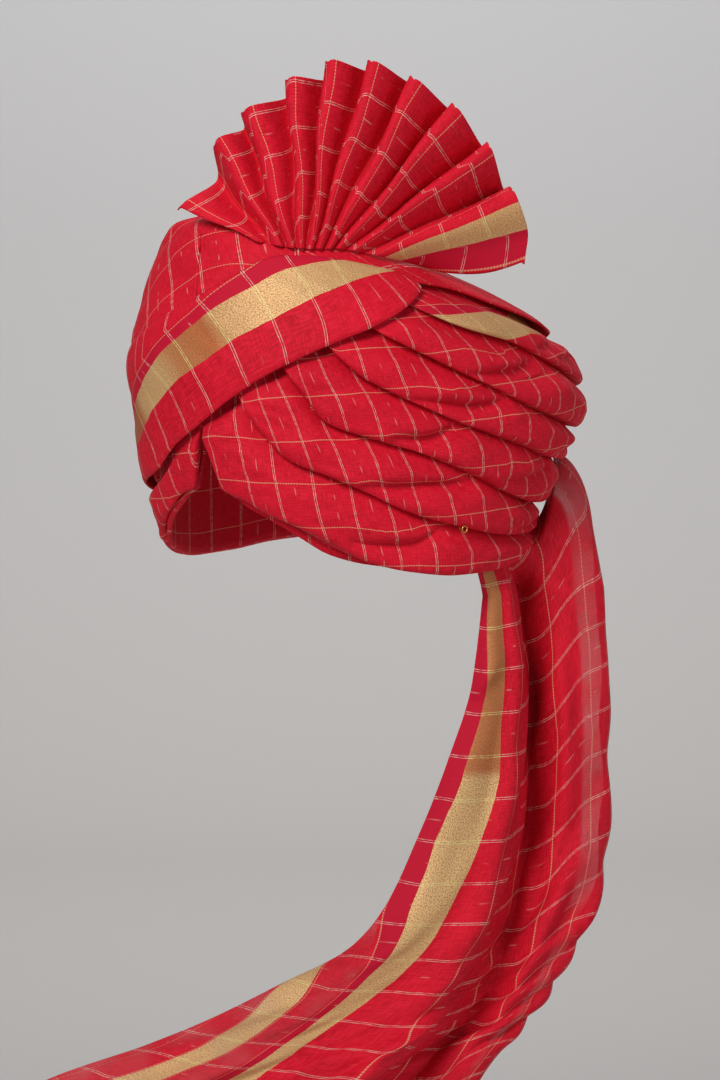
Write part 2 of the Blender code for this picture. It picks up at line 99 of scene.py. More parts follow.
# Angle, then lower and upper edge of the front band in percent
bandTable = np.array([
    (-80, 15.0, 45.0),
    (-62, 18.0, 49.0),
    (-45, 21.5, 55.0),
    (-28, 25.0, 62.0),
    (-12, 29.0, 68.0),
    (2, 37.5, 74.0),
    (10, 42.0, 77.0),
    (22, 50.0, 81.5),
    (36, 58.0, 86.0),
    (50, 64.5, 88.5),
    (62, 69.0, 88.5),
    (78, 75.0, 87.0),
    (92, 80.0, 84.5),
])
# Angle and height in percent of the crown panel's lower edge
panelTable = np.array([
    (-180, 62.0),
    (-140, 67.0),
    (-118, 70.0),
    (-98, 56.0),
    (-84, 38.0),
    (-62, 38.0),
    (-28, 54.0),
    (2, 66.0),
    (22, 74.0),
    (50, 81.5),
    (78, 82.0),
    (92, 81.0),
    (105, 79.5),
    (122, 73.5),
    (145, 66.5),
    (180, 62.0),
])

# The woven pattern in metres: one check is 24.5 mm, the gold border 22 mm, its selvedge 8.5 mm
pattern = {
    "check": 0.0245,
    "weftOff": 0.0006,  # from the middle of a double weft to each of its two lines
    "weftHalf": 0.0002,
    "warpCore": 0.00014,
    "warpEdge": 0.00036,
    "dotHalf": 0.0009,
    "slubHalf": 0.0004,
    "borderLow": 0.0185,
    "borderHigh": 0.0405,
    "selvedge": 0.049,
    "secondMiddle": 0.086,  # the border on the cloth's next layer, at the end of the tail
    "secondHalf": 0.011,
    "plain": -0.49,  # a place on the cloth well away from the border, twenty checks off
}
check = pattern["check"]


def hexColour(text):
    # sRGB hex to the linear colour that the shader takes
    values = [int(text[i:i + 2], 16) / 255 for i in (0, 2, 4)]
    linear = [v / 12.92 if v <= 0.04045 else ((v + 0.055) / 1.055) ** 2.4 for v in values]
    return (*linear, 1.0)


def curve(xs, ys, x):
    # smooth values at x through the points, with no overshoot between them
    xs, ys = np.asarray(xs, float), np.asarray(ys, float)
    steps = np.diff(xs)
    rates = np.diff(ys) / steps
    slopes = np.zeros(len(xs))
    slopes[0], slopes[-1] = rates[0], rates[-1]
    for i in range(1, len(xs) - 1):
        if rates[i - 1] * rates[i] > 0:
            before, after = 2 * steps[i] + steps[i - 1], steps[i] + 2 * steps[i - 1]
            slopes[i] = (before + after) / (before / rates[i - 1] + after / rates[i])
    x = np.clip(x, xs[0], xs[-1])
    i = np.clip(np.searchsorted(xs, x, side="right") - 1, 0, len(steps) - 1)
    t = (x - xs[i]) / steps[i]
    left = ys[i] * (1 + 2 * t) + steps[i] * slopes[i] * t
    right = ys[i + 1] * (3 - 2 * t) + steps[i] * slopes[i + 1] * (t - 1)
    return (1 - t) ** 2 * left + t * t * right


def smoothStep(low, high, x):
    t = np.clip((x - low) / (high - low), 0, 1)
    return t * t * (3 - 2 * t)


def height(percent):
    return wrap["rim"] + percent / 100 * wrapHeight


def percentOf(z):
    return (z - wrap["rim"]) / wrapHeight * 100


def bodyLevel(z):
    # half width, middle and half length of the outer form at a height
    percent = percentOf(z)
    side = wrap["side"] * curve(formTable[:, 0], formTable[:, 1], percent)
    front = wrap["front"] * curve(formTable[:, 0], formTable[:, 2], percent)
    back = wrap["back"] * curve(formTable[:, 0], formTable[:, 3], percent)
    return side, (back - front) / 2, (back + front) / 2


def coreLevel(z):
    # the same for the first turns, which the folds lie on
    climbed = np.minimum(z + wrap["lapRise"] * wrap["coreClimb"], wrap["crown"])
    side, middle, half = bodyLevel(climbed)
    filled = smoothStep(wrap["domeStart"], wrap["domeTop"], z)
    rise = (z - wrap["domeStart"]) / (wrap["domeTop"] - wrap["domeStart"])
    share = np.sqrt(np.clip(1 - np.clip(rise, 0, None) ** 2, 0, 1)) * (1 - filled)
    wall = wrap["innerWall"] * (1 - filled)
    inset = wrap["coreInset"] * filled
    width = share * wrap["halfWidth"] + wall + side * inset
    length = share * wrap["halfLength"] + wall + half * inset
    return width, middle * inset, length


def ringPoint(level, angle, z, outward=0.0):
    side, middle, half = level
    sine, cosine = np.sin(np.radians(angle)), np.cos(np.radians(angle))
    across, along = sine / np.maximum(side, 1e-4), -cosine / np.maximum(half, 1e-4)
    size = np.hypot(across, along)
    x = side * sine + outward * across / size
    y = middle - half * cosine + outward * along / size
    return np.stack(np.broadcast_arrays(x, y, z), axis=-1)


def formPoint(angle, z, depth=0.0):
    return ringPoint(bodyLevel(z), angle, z, -depth)


def corePoint(angle, z, outward=0.0):
    return ringPoint(coreLevel(z), angle, z, outward)


def signedAngle(angle):
    return (angle + 180) % 360 - 180


def creaseHeight(name, angle):
    away = np.abs(signedAngle(angle - wrap["frontAngle"]))
    return height(curve(creaseAngles, creaseTable[name], away))


def bandEdge(angle, number):
    return height(curve(bandTable[:, 0], bandTable[:, number], signedAngle(angle)))


def panelEdge(angle):
    return height(curve(panelTable[:, 0], panelTable[:, 1], signedAngle(angle)))


def coveredShare(angle, z):
    # 1 where the panel or the band lies over the folds, 0 where they are open
    margin = wrapHeight * wrap["coverMargin"]
    fade = wrap["bandFade"]
    turns = (-wrap["coverSpread"], 0, wrap["coverSpread"])
    edge = np.min([panelEdge(angle + turn) for turn in turns], axis=0)
    underPanel = smoothStep(-margin, -margin / 8, z - edge)
    turn = signedAngle(angle)
    inside = smoothStep(bandTable[0, 0] - fade, bandTable[0, 0], turn)
    inside = inside * (1 - smoothStep(bandTable[-1, 0], bandTable[-1, 0] + fade, turn))
    underBand = inside * smoothStep(-margin, -margin / 8, z - bandEdge(turn, 1))
    return np.maximum(underPanel, underBand)


def mix(start, end, share):
    share = np.asarray(share)[..., None]
    return start * (1 - share) + end * share


def ripples(seed, waves, along, across):
    # soft waves in cloth: each row is how many, length along, length across and height
    dice = np.random.default_rng(seed)
    total = 0.0
    for count, lengthAlong, lengthAcross, rise in waves:
        for _ in range(count):
            turn, first, second = dice.uniform((0, 0.6, 0.6), (2 * math.pi, 1.6, 1.6))
            sign = 1 if dice.random() > 0.5 else -1
            phase = along / lengthAlong * first + sign * across / lengthAcross * second
            total = total + rise / math.sqrt(count) * np.sin(2 * math.pi * phase + turn)
    return total


def travelled(points, axis):
    # distance walked over a grid of points, row by row or column by column
    steps = np.linalg.norm(np.diff(points, axis=axis), axis=-1)
    start = np.zeros_like(np.take(steps, [0], axis=axis))
    return np.concatenate([start, np.cumsum(steps, axis=axis)], axis=axis)


def clearSelection():
    for thing in bpy.context.selected_objects:
        thing.select_set(False)


def shapeCloth(name, columns, rows, place, weave):
    # a primitive grid, laid out by place(a, b) and given its pattern by weave(points, a, b)
    clearSelection()
    bpy.ops.mesh.primitive_grid_add(x_subdivisions=columns, y_subdivisions=rows, size=1)
    piece = bpy.context.active_object
    piece.name = name
    piece.data.name = name
    mesh = piece.data
    flat = np.empty(len(mesh.vertices) * 3)
    mesh.vertices.foreach_get("co", flat)
    flat = flat.reshape(-1, 3)
    i = np.rint((flat[:, 0] + 0.5) * columns).astype(int)
    j = np.rint((flat[:, 1] + 0.5) * rows).astype(int)
    b, a = np.meshgrid(np.linspace(0, 1, rows + 1), np.linspace(0, 1, columns + 1), indexing="ij")
    points = place(a, b)
    mesh.vertices.foreach_set("co", points[j, i].ravel())
    pairs = weave(points, a, b)[j, i]
    loops = np.empty(len(mesh.loops), int)
    mesh.loops.foreach_get("vertex_index", loops)
    layer = mesh.uv_layers[0]
    layer.name = "weave"
    layer.data.foreach_set("uv", pairs[loops].ravel())
    mesh.update()
    return piece


def weldCloth(piece):
    # closes seams and poles, and turns the faces outwards
    bpy.context.view_layer.objects.active = piece
    bpy.ops.object.mode_set(mode="EDIT")
    bpy.ops.mesh.select_all(action="SELECT")
    bpy.ops.mesh.remove_doubles(threshold=0.00002)
    bpy.ops.mesh.dissolve_degenerate(threshold=0.00001)
    bpy.ops.mesh.select_all(action="SELECT")
    bpy.ops.mesh.normals_make_consistent(inside=False)
    bpy.ops.object.mode_set(mode="OBJECT")


def thickenCloth(piece, wall, side):
    # side -1 puts the wall on the inside of the faces, 0 half on each side
    bpy.context.view_layer.objects.active = piece
    modifier = piece.modifiers.new("Solidify", "SOLIDIFY")
    modifier.thickness = wall
    modifier.offset = side
    bpy.ops.object.modifier_apply(modifier=modifier.name)


def finishPiece(piece, material, node):
    bpy.context.view_layer.objects.active = piece
    clearSelection()
    piece.select_set(True)
    bpy.ops.object.shade_smooth()
    piece.data.materials.clear()
    piece.data.materials.append(material)
    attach(piece, "root")
    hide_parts(node)


def addNode(tree, kind, settings, inputs):
    # one shader node: its settings, then values or links for its sockets
    node = tree.nodes.new("ShaderNode" + kind)
    for key, value in settings.items():
        setattr(node, key, value)
    for socket, value in inputs.items():
        if isinstance(value, bpy.types.NodeSocket):
            tree.links.new(value, node.inputs[socket])
        else:
            node.inputs[socket].default_value = value
    return node


def worked(tree, operation, *values):
    # a number worked out by a math node
    return addNode(tree, "Math", {"operation": operation}, dict(enumerate(values))).outputs[0]


def ranged(tree, value, low, high, atLow, atHigh):
    # a value between low and high, spread from atLow to atHigh
    inputs = {0: value, 1: low, 2: high, 3: atLow, 4: atHigh}
    return addNode(tree, "MapRange", {}, inputs).outputs[0]


def noise(tree, place, scale, detail):
    inputs = {"Vector": place, "Scale": scale, "Detail": detail}
    return addNode(tree, "TexNoise", {}, inputs).outputs["Fac"]


def threadNoise(tree, place, along, across):
    # noise drawn out along the threads, with so many spots to a metre each way
    inputs = {"Vector": place, "Scale": (along, across, 1.0)}
    return noise(tree, addNode(tree, "Mapping", {}, inputs).outputs[0], 1.0, 1.0)


def blended(tree, share, *colours):
    # from the first colour to the second, each a hex text or a link
    first, second = (hexColour(c) if isinstance(c, str) else c for c in colours)
    return addNode(tree, "Mix", {"data_type": "RGBA"}, {0: share, 6: first, 7: second}).outputs[2]


def newMaterial(name):
    material = bpy.data.materials.new(name)
    material.use_nodes = True
    material.node_tree.nodes.clear()
    return material


def addShader(tree, inputs):
    shader = addNode(tree, "BsdfPrincipled", {}, inputs)
    addNode(tree, "OutputMaterial", {}, {"Surface": shader.outputs[0]})
    return shader


clothLook = {
    "red": "C9031E",
    "redDeep": "A00014",
    "redBright": "DE1532",
    "thread": "DDB0A4",
    "goldThread": "E2A682",
    "paintedGlintGold": "E6BC82",
    # the border's next two colours carry painted light: pale gold is painted glint where the metal
    # thread would catch the light, brown is painted shade where it would turn from it
    "paintedShadeBrown": "BC5C2C",
    "borderSilk": "86502E",
    "borderThread": "E6DC90",
    "selvedge": "C0082C",
    "roughness": 0.75,
    "specular": 0.22,
    "borderRoughness": 0.55,
    "metal": 0.22,
    "bump": 0.35,
    "bumpDepth": 0.0004,
    "grainRelief": 0.5,
    "wander": 0.0022,
    "sheerRight": 0.010,
    "sheerLeft": (0.050, 0.056),
}
brassLook = {"light": "E5C06A", "dark": "B98C3C"}


def clothMaterial(name, paintedGlintAlong, sheerFrom=None, secondBorder=False):
    # Handloom silk-cotton, plain weave, with double slub wefts and dotted gold warps every
    # 24.5 mm: matt with a faint gloss, and a border of flat metal thread that glints. Along the
    # border its colour carries painted light: painted shade makes it brown where the thread would
    # turn from the light, and painted glint makes it pale gold where it would catch it. The second
    # argument lists (metres, share of painted glint).
    material = newMaterial(name)
    tree = material.node_tree
    weave = addNode(tree, "UVMap", {"uv_map": "weave"}, {}).outputs["UV"]
    here = addNode(tree, "TexCoord", {}, {}).outputs["Object"]
    # the threads wander by up to about a millimetre
    sway = addNode(tree, "TexNoise", {}, {"Vector": here, "Scale": 38.0, "Detail": 1.0})
    centred = addNode(tree, "VectorMath", {"operation": "SUBTRACT"},
                      {0: sway.outputs["Color"], 1: (0.5, 0.5, 0.5)}).outputs[0]
    wander = addNode(tree, "VectorMath", {"operation": "SCALE"},
                     {0: centred, "Scale": clothLook["wander"]}).outputs[0]
    moved = addNode(tree, "VectorMath", {"operation": "ADD"}, {0: weave, 1: wander}).outputs[0]
    axes = addNode(tree, "SeparateXYZ", {}, {0: moved})
    along, across = axes.outputs["X"], axes.outputs["Y"]
    # double slub wefts, two lines 1.2 mm apart and 0.4 mm thick
    fromWeft = worked(tree, "PINGPONG", along, check / 2)
    onLine = worked(tree, "COMPARE", fromWeft, pattern["weftOff"], pattern["weftHalf"])
    slub = ranged(tree, noise(tree, moved, 420.0, 2.0), 0.36, 0.62, 0.25, 0.95)
    weft = worked(tree, "MULTIPLY", onLine, slub)
    # single dotted gold warps
    fromWarp = worked(tree, "PINGPONG", across, check / 2)
    nearWarp = ranged(tree, fromWarp, pattern["warpCore"], pattern["warpEdge"], 1.0, 0.0)
    fromDot = worked(tree, "PINGPONG", along, pattern["dotHalf"])
    warp = worked(tree, "MULTIPLY", nearWarp, ranged(tree, fromDot, 0.0001, 0.0006, 0.15, 0.8))
    # faint broken slubs half way between the wefts
    fromHalf = worked(tree, "PINGPONG", worked(tree, "ADD", along, check / 2), check / 2)
    onHalf = worked(tree, "LESS_THAN", fromHalf, pattern["slubHalf"])
    broken = ranged(tree, noise(tree, moved, 110.0, 1.0), 0.56, 0.68, 0.0, 0.35)
    faint = worked(tree, "MULTIPLY", onHalf, broken)
    # weave grain: threads run both ways, drawn about three times too coarse to show
    grain = worked(tree, "ADD", threadNoise(tree, moved, 160.0, 1500.0),
                   threadNoise(tree, moved, 1500.0, 160.0))
    tone = ranged(tree, noise(tree, here, 22.0, 3.0), 0.35, 0.68, 0.0, 0.6)
    ground = blended(tree, tone, clothLook["red"], clothLook["redDeep"])
    grainShare = ranged(tree, grain, 0.75, 1.3, 0.0, 1.0)
    ground = blended(tree, grainShare, ground, clothLook["redBright"])
    # border and selvedge
    overLow = worked(tree, "GREATER_THAN", across, pattern["borderLow"])
    underHigh = worked(tree, "LESS_THAN", across, pattern["borderHigh"])
    border = worked(tree, "MULTIPLY", overLow, underHigh)
    if secondBorder:
        second = worked(tree, "COMPARE", across, pattern["secondMiddle"], pattern["secondHalf"])
        border = worked(tree, "MAXIMUM", border, second)
    overHigh = worked(tree, "GREATER_THAN", across, pattern["borderHigh"])
    underEdge = worked(tree, "LESS_THAN", across, pattern["selvedge"])
    edge = worked(tree, "MULTIPLY", overHigh, underEdge)
    ground = blended(tree, edge, ground, clothLook["selvedge"])
    # flat gold thread over brown silk, speckled where the silk shows, with painted light along it:
    # painted shade makes it brown in some stretches, painted glint pale gold in others
    speck = ranged(tree, threadNoise(tree, moved, 1100.0, 1900.0), 0.36, 0.56, 0.25, 1.0)
    first, last = paintedGlintAlong[0][0], paintedGlintAlong[-1][0]
    # painted glint and painted shade on the border: a ramp along the warps from the listed shares,
    # 1 pale gold as if lit, 0 brown as if turned from the light
    turn = addNode(tree, "ValToRGB", {}, {0: ranged(tree, along, first, last, 0.0, 1.0)})
    marks = turn.color_ramp.elements
    for number, (metres, share) in enumerate(paintedGlintAlong):
        position = (metres - first) / (last - first)
        mark = marks[number] if number < 2 else marks.new(position)
        mark.position = position
        mark.color = (share, share, share, 1.0)
    gold = blended(tree, turn.outputs[0], clothLook["paintedShadeBrown"], clothLook["paintedGlintGold"])
    gold = blended(tree, speck, clothLook["borderSilk"], gold)
    gold = blended(tree, weft, gold, clothLook["borderThread"])
    cloth = blended(tree, faint, ground, clothLook["thread"])
    cloth = blended(tree, warp, cloth, clothLook["goldThread"])
    cloth = blended(tree, weft, cloth, clothLook["thread"])
    goldShare = worked(tree, "MULTIPLY", border, speck)
    raised = worked(tree, "MAXIMUM", weft, warp)
    relief = worked(tree, "MULTIPLY_ADD", grain, clothLook["grainRelief"], raised)
    bump = addNode(tree, "Bump", {}, {
        "Height": relief,
        "Strength": clothLook["bump"],
        "Distance": clothLook["bumpDepth"],
    })
    shader = addShader(tree, {
        "Base Color": blended(tree, border, cloth, gold),
        "Roughness": ranged(tree, border, 0.0, 1.0, clothLook["roughness"],
                            clothLook["borderRoughness"]),
        "Metallic": worked(tree, "MULTIPLY", goldShare, clothLook["metal"]),
        "Normal": bump.outputs[0],
        "Specular IOR Level": clothLook["specular"],
    })
    if sheerFrom is not None:
        # one layer lets light through, the doubled strip and the slub wefts don't
        right = ranged(tree, across, sheerFrom, sheerFrom - clothLook["sheerRight"], 0.0, 1.0)
        left = ranged(tree, across, *clothLook["sheerLeft"], 0.0, 1.0)
        doubled = ranged(tree, worked(tree, "MAXIMUM", right, left), 0.0, 1.0, 0.97, 0.0)
        veil = ranged(tree, noise(tree, here, 30.0, 2.0), 0.35, 0.65, 0.66, 0.90)
        kept = worked(tree, "MAXIMUM", worked(tree, "MAXIMUM", doubled, veil), weft)
        tree.links.new(kept, shader.inputs["Alpha"])
    return material


def brassMaterial():
    # Drawn brass wire, polished: warm yellow with fine draw marks and a little tarnish.
    material = newMaterial("drawnBrass")
    tree = material.node_tree
    here = addNode(tree, "TexCoord", {}, {}).outputs["Object"]
    marks = noise(tree, here, 900.0, 2.0)
    addShader(tree, {
        "Base Color": blended(tree, marks, brassLook["light"], brassLook["dark"]),
        "Roughness": ranged(tree, marks, 0.0, 1.0, 0.18, 0.38),
        "Metallic": 1.0,
    })
    return material


# Painted glint along each border, as (metres along the cloth, share): 1 paints it pale gold as if
# it caught the light, 0 paints it brown as painted shade where it turns from it
clothWound = clothMaterial("handloomSilkCotton", [(-0.10, 0.9), (0.02, 0.8), (0.05, 0.15)])
clothBand = clothMaterial("handloomBand", [
    (7.9 * check, 0.0), (8.1 * check, 0.1), (8.5 * check, 0.85), (10.2 * check, 0.9),
    (10.7 * check, 0.35), (11.7 * check, 0.1), (12.1 * check, 0.8), (13.4 * check, 0.9),
])
# painted glint and painted shade along the tail's border, in the same way
tailPaintedGlint = [(0.04, 0.25), (0.13, 0.2), (0.135, 1.0), (0.35, 0.85)]
clothTail = clothMaterial("sheerSilkCotton", tailPaintedGlint, sheerFrom=-0.066, secondBorder=True)
print("materials made")

# Folds, lowest first. For each: where a warp and a weft cross (angle, percent), how the weave
# leans, and its smaller creases as (angle, share of the fold's height) with a depth. Angles
# here run on from the crossing over the forehead, 10 to 370.
folds = [
    {
        "crossing": (24.4, 27.4), "lean": 0.25, "slope": 0.02,
        "creases": [
            (0.0040, [(51.6, 0.22), (60.5, 0.35), (69.6, 0.51), (82.4, 0.97)]),
            (0.0035, [(120, 0.2), (138, 0.45), (160, 0.9)]),
            (0.0035, [(205, 0.85), (228, 0.5), (250, 0.15)]),
            (0.0030, [(285, 0.8), (305, 0.5), (325, 0.2)]),
        ],
    },
    {
        "crossing": (33.0, 38.2), "lean": 0.5, "slope": 0.07,
        "creases": [
            (0.0045, [(54.0, 0.06), (61.0, 0.28), (70.4, 0.52), (83.3, 0.80), (89.9, 0.99)]),
            (0.0035, [(110, 0.1), (132, 0.4), (150, 0.85)]),
            (0.0040, [(190, 0.1), (214, 0.45), (240, 0.9)]),
            (0.0035, [(262, 0.9), (285, 0.5), (308, 0.1)]),
        ],
    },
    {
        "crossing": (42.5, 50.5), "lean": 0.35, "slope": 0.09,
        "creases": [
            (0.0045, [(61.3, 0.11), (64.7, 0.21), (68.9, 0.33), (73.8, 0.56), (78.6, 0.85),
                      (83.2, 1.0)]),
            (0.0030, [(96, 0.15), (110, 0.5), (124, 0.9)]),
            (0.0040, [(165, 0.15), (185, 0.5), (208, 0.9)]),
            (0.0035, [(240, 0.9), (262, 0.45), (285, 0.1)]),
        ],
    },
    {
        "crossing": (66.1, 53.2), "lean": 0.1, "slope": 0.10,
        "creases": [
            (0.0045, [(66.4, 0.04), (76.1, 0.27), (80.6, 0.36), (87.0, 0.57), (96.1, 0.94)]),
            (0.0035, [(118, 0.1), (138, 0.5), (156, 0.9)]),
            (0.0040, [(196, 0.15), (220, 0.5), (244, 0.9)]),
        ],
    },
    {
        "crossing": (79.6, 62.8), "lean": 0.0, "slope": 0.12,
        "creases": [
            (0.0045, [(84.2, 0.06), (93.2, 0.36), (101.7, 0.60), (112.8, 0.92)]),
            (0.0025, [(88.0, 0.04), (96.0, 0.26), (106.0, 0.52), (116.0, 0.80)]),
            (0.0040, [(140, 0.1), (160, 0.45), (182, 0.9)]),
            (0.0035, [(212, 0.9), (232, 0.5), (250, 0.1)]),
        ],
    },
    {
        "crossing": (105.0, 65.7), "lean": 0.1, "slope": 0.157,
        "creases": [
            (0.0035, [(112.0, 0.10), (119.0, 0.30), (127.0, 0.55), (138.0, 0.85)]),
            (0.0025, [(120.0, 0.12), (130.0, 0.32), (142.0, 0.52)]),
            (0.0030, [(175, 0.2), (195, 0.5), (220, 0.8)]),
        ],
    },
]
creaseNames = list(creaseTable)
foldShape = {
    "stations": 420,
    "steps": 70,
    "lowSeat": 0.10,
    "highSeat": 0.86,
    "closing": 0.94,
    "lipShare": 0.22,
    "tuckFrom": 0.42,
    "curl": 2.2,
    "deepest": 0.7,  # share of the room between the form and the first turns
    "grooves": 1.8,
    "lapSharp": 0.0018,  # how fast a groove fades above its line and below it
    "lapSoft": 0.0075,
    "radius": 0.125,
    "waves": [(4, 0.090, 0.030, 0.0007), (5, 0.045, 0.012, 0.0003)],
}


def foldAngle(a):
    return wrap["frontAngle"] + 360 * a


def subCreases(fold, angle, share, tall):
    # grooves where one layer of the fold laps over the next, deepest along the line
    total = 0.0
    for depth, line in fold["creases"]:
        line = np.array(line)
        run = np.clip((angle - line[0, 0]) / (line[-1, 0] - line[0, 0]), 0, 1)
        inside = (angle > line[0, 0]) & (angle < line[-1, 0])
        away = (share - curve(line[:, 0], line[:, 1], angle)) * tall
        sharp, soft = np.exp(-away / foldShape["lapSharp"]), np.exp(away / foldShape["lapSoft"])
        groove = foldShape["grooves"] * depth * np.where(away > 0, sharp, soft)
        total = np.maximum(total, groove * np.sin(math.pi * run) ** 0.5 * inside)
    return total


def placeFold(fold, a, b):
    angle = foldAngle(a)
    low, high = creaseHeight(fold["low"], angle), creaseHeight(fold["high"], angle)
    lowSeat, highSeat, closing = (foldShape[key] for key in ("lowSeat", "highSeat", "closing"))
    share = np.clip((b - lowSeat) / (highSeat - lowSeat), 0, 1)
    z = low + (high - low) * share
    bare = 1 - coveredShare(angle, z)
    lip = np.clip(1 - share / foldShape["lipShare"], 0, 1) ** foldShape["curl"]
    tucked = np.clip((share - foldShape["tuckFrom"]) / (1 - foldShape["tuckFrom"]), 0, 1)
    depth = wrap["lip"] * lip + wrap["tuck"] * tucked ** foldShape["curl"]
    depth = depth + wrap["cover"] * (1 - bare)
    grooves = subCreases(fold, angle, share, high - low) * np.sin(math.pi * share) ** 0.3
    around = np.radians(angle) * foldShape["radius"]
    waves = ripples(fold["seed"], foldShape["waves"], around, z) * np.sin(math.pi * share)
    depth = depth + bare * grooves + bare * waves
    room = np.linalg.norm(formPoint(angle, z) - corePoint(angle, z), axis=-1)
    depth = np.minimum(depth, foldShape["deepest"] * room)
    skin = formPoint(angle, z, depth)
    skin[..., 2] += wrap["lapRise"] * depth / room * np.abs(2 * share - 1) ** 6
    skin[..., 2] += wrap["gap"] / 2 * (1 - 2 * share)
    lowFoot = corePoint(angle, low + wrap["lapRise"], wrap["gap"])
    highFoot = corePoint(angle, high + wrap["lapRise"], wrap["gap"])
    points = mix(lowFoot, skin, np.clip(b / lowSeat, 0, 1))
    points = mix(points, highFoot, np.clip((b - highSeat) / (closing - highSeat), 0, 1))
    return mix(points, lowFoot, np.clip((b - closing) / (1 - closing), 0, 1))


def weaveFold(fold, points, a, b):
    rows = b.shape[0]
    middle, lip = rows // 2, int(round(foldShape["lowSeat"] * (rows - 1)))
    along = travelled(points, 1)[middle]
    across = travelled(points, 0)
    across = across - across[lip]
    low = creaseHeight(fold["low"], foldAngle(a))
    angle, percent = fold["crossing"]
    startAlong = np.interp(angle, foldAngle(a[0]), along)
    startAcross = height(percent) - creaseHeight(fold["low"], angle)
    u = along + fold["lean"] * across - startAlong - fold["lean"] * startAcross
    v = low + across - fold["slope"] * along
    v = v - height(percent) + fold["slope"] * startAlong
    # the top fold shows the border of an inner turn, the others only plain cloth
    shift = pattern["borderLow"] if fold["high"] == "top" else pattern["plain"]
    return np.stack([u, v + shift], axis=-1)


for number, fold in enumerate(folds, start=1):
    fold["low"], fold["high"] = creaseNames[number - 1], creaseNames[number]
    fold["seed"] = 10 + number
    roll = shapeCloth(
        f"fold{number}",
        foldShape["stations"],
        foldShape["steps"],
        lambda a, b: placeFold(fold, a, b),
        lambda points, a, b: weaveFold(fold, points, a, b),
    )
    weldCloth(roll)
    finishPiece(roll, clothWound, f"fold_{number}")
print("folds wound")

# First turns, innermost: a dome of cloth, open below
innerShape = {
    "columns": 120,
    "rows": 60,
    "wall": 0.0026,
    "clear": 0.0002,
    "ripple": 0.006,
    "ripples": 9,
    "twist": 5,
    "slant": 0.0125,
}


def placeInner(a, b):
    angle = foldAngle(a)
    foot = creaseHeight("rim", angle) + wrap["lapRise"] * 0.5
    z = foot + (wrap["domeTop"] - foot) * np.sin(math.pi / 2 * b)
    rise = (z - wrap["domeStart"]) / (wrap["domeTop"] - wrap["domeStart"])
    share = np.sqrt(np.clip(1 - np.clip(rise, 0, None) ** 2, 0, 1))
    phase = np.radians(angle) * innerShape["ripples"] + innerShape["twist"] * b
    wave = 1 + innerShape["ripple"] * np.sin(math.pi * b) * np.sin(phase)
    outward = (wrap["innerWall"] - innerShape["clear"]) * np.minimum(share * 4, 1)
    level = (wrap["halfWidth"] * share * wave, 0.0, wrap["halfLength"] * share * wave)
    points = ringPoint(level, angle, z, outward)
    points[-1] = (0, 0, wrap["domeTop"] + innerShape["wall"])
    return points


def weaveInner(points, a, b):
    turn = np.radians(foldAngle(a))
    u = travelled(points, 1)[0]
    v = travelled(points, 0) + innerShape["slant"] * np.sin(turn)
    return np.stack([np.broadcast_to(u, a.shape), v + pattern["plain"]], axis=-1)


inner = shapeCloth("innerWrap", innerShape["columns"], innerShape["rows"], placeInner, weaveInner)
weldCloth(inner)
thickenCloth(inner, innerShape["wall"], -1.0)
finishPiece(inner, clothWound, "inner_wrap")

# Smooth cloth over the crown
panelShape = {
    "columns": 360,
    "rows": 110,
    "wall": 0.0014,
    "depth": 0.0008,
    "hang": 0.0030,
    "edge": 0.0016,
    "lip": 0.0075,
    "lipShare": 0.18,
    "radius": 0.1,
    "waveRange": (-0.0003, 0.002),
    "gather": 1.6,  # fine pleats draw the cloth together across its warps
    "shift": (0.004, 0.008),
    "facing": Vector((-0.2, -0.6, 0.77)).normalized(),  # where the middle of the cloth faces
    "direction": Vector((0.877, 0.197, 0.434)),  # the way its warps run, beside the band
    "waves": [(4, 0.110, 0.050, 0.0008), (4, 0.060, 0.018, 0.0003)],
}


def placePanel(a, b):
    angle = foldAngle(a)
    foot = panelEdge(angle) + 3 * wrap["gap"]
    foot = foot - panelShape["hang"] * (1 - coveredShare(angle, foot - panelShape["edge"]))
    z = foot + (wrap["crown"] - foot) * np.sin(math.pi / 2 * b)
    bare = 1 - coveredShare(angle, foot - panelShape["edge"])
    lip = panelShape["lip"] * np.clip(1 - b / panelShape["lipShare"], 0, 1) ** 1.8 * bare
    around = np.radians(angle) * panelShape["radius"]
    wave = ripples(21, panelShape["waves"], around, z) * np.sin(math.pi * b) ** 0.5
    depth = panelShape["depth"] + lip + np.clip(wave, *panelShape["waveRange"])
    points = formPoint(angle, z, depth)
    points[-1] = points[-1].mean(axis=0)
    return points


def weavePanel(points, a, b):
    facing = np.array(panelShape["facing"])
    direction = np.array(panelShape["direction"])
    direction = direction - facing * (direction @ facing)
    direction = direction / np.linalg.norm(direction)
    upward = np.cross(facing, direction)
    u = points @ direction + panelShape["shift"][0]
    v = points @ upward * panelShape["gather"] + panelShape["shift"][1] + pattern["plain"]
    return np.stack([u, v], axis=-1)


panel = shapeCloth("crownPanel", panelShape["columns"], panelShape["rows"], placePanel, weavePanel)
weldCloth(panel)
thickenCloth(panel, panelShape["wall"], -1.0)
finishPiece(panel, clothWound, "crown_panel")
print("crown covered")

# Front band: doubled cloth with the gold border
bandShape = {
    "columns": 380,
    "rows": 90,
    "wall": 0.0015,
    "proud": 0.0013,
    "edgeRadius": 0.0030,
    "lowRoll": 0.0014,
    "highRoll": 0.0006,
    "radius": 0.12,
    "waveRange": (-0.0012, 0.0006),
    "lowShift": 0.0045,  # moves the first gold warp down out of sight
    "weftBend": 1.25,
    "waves": [(4, 0.080, 0.060, 0.0005), (5, 0.030, 0.020, 0.00018)],
}
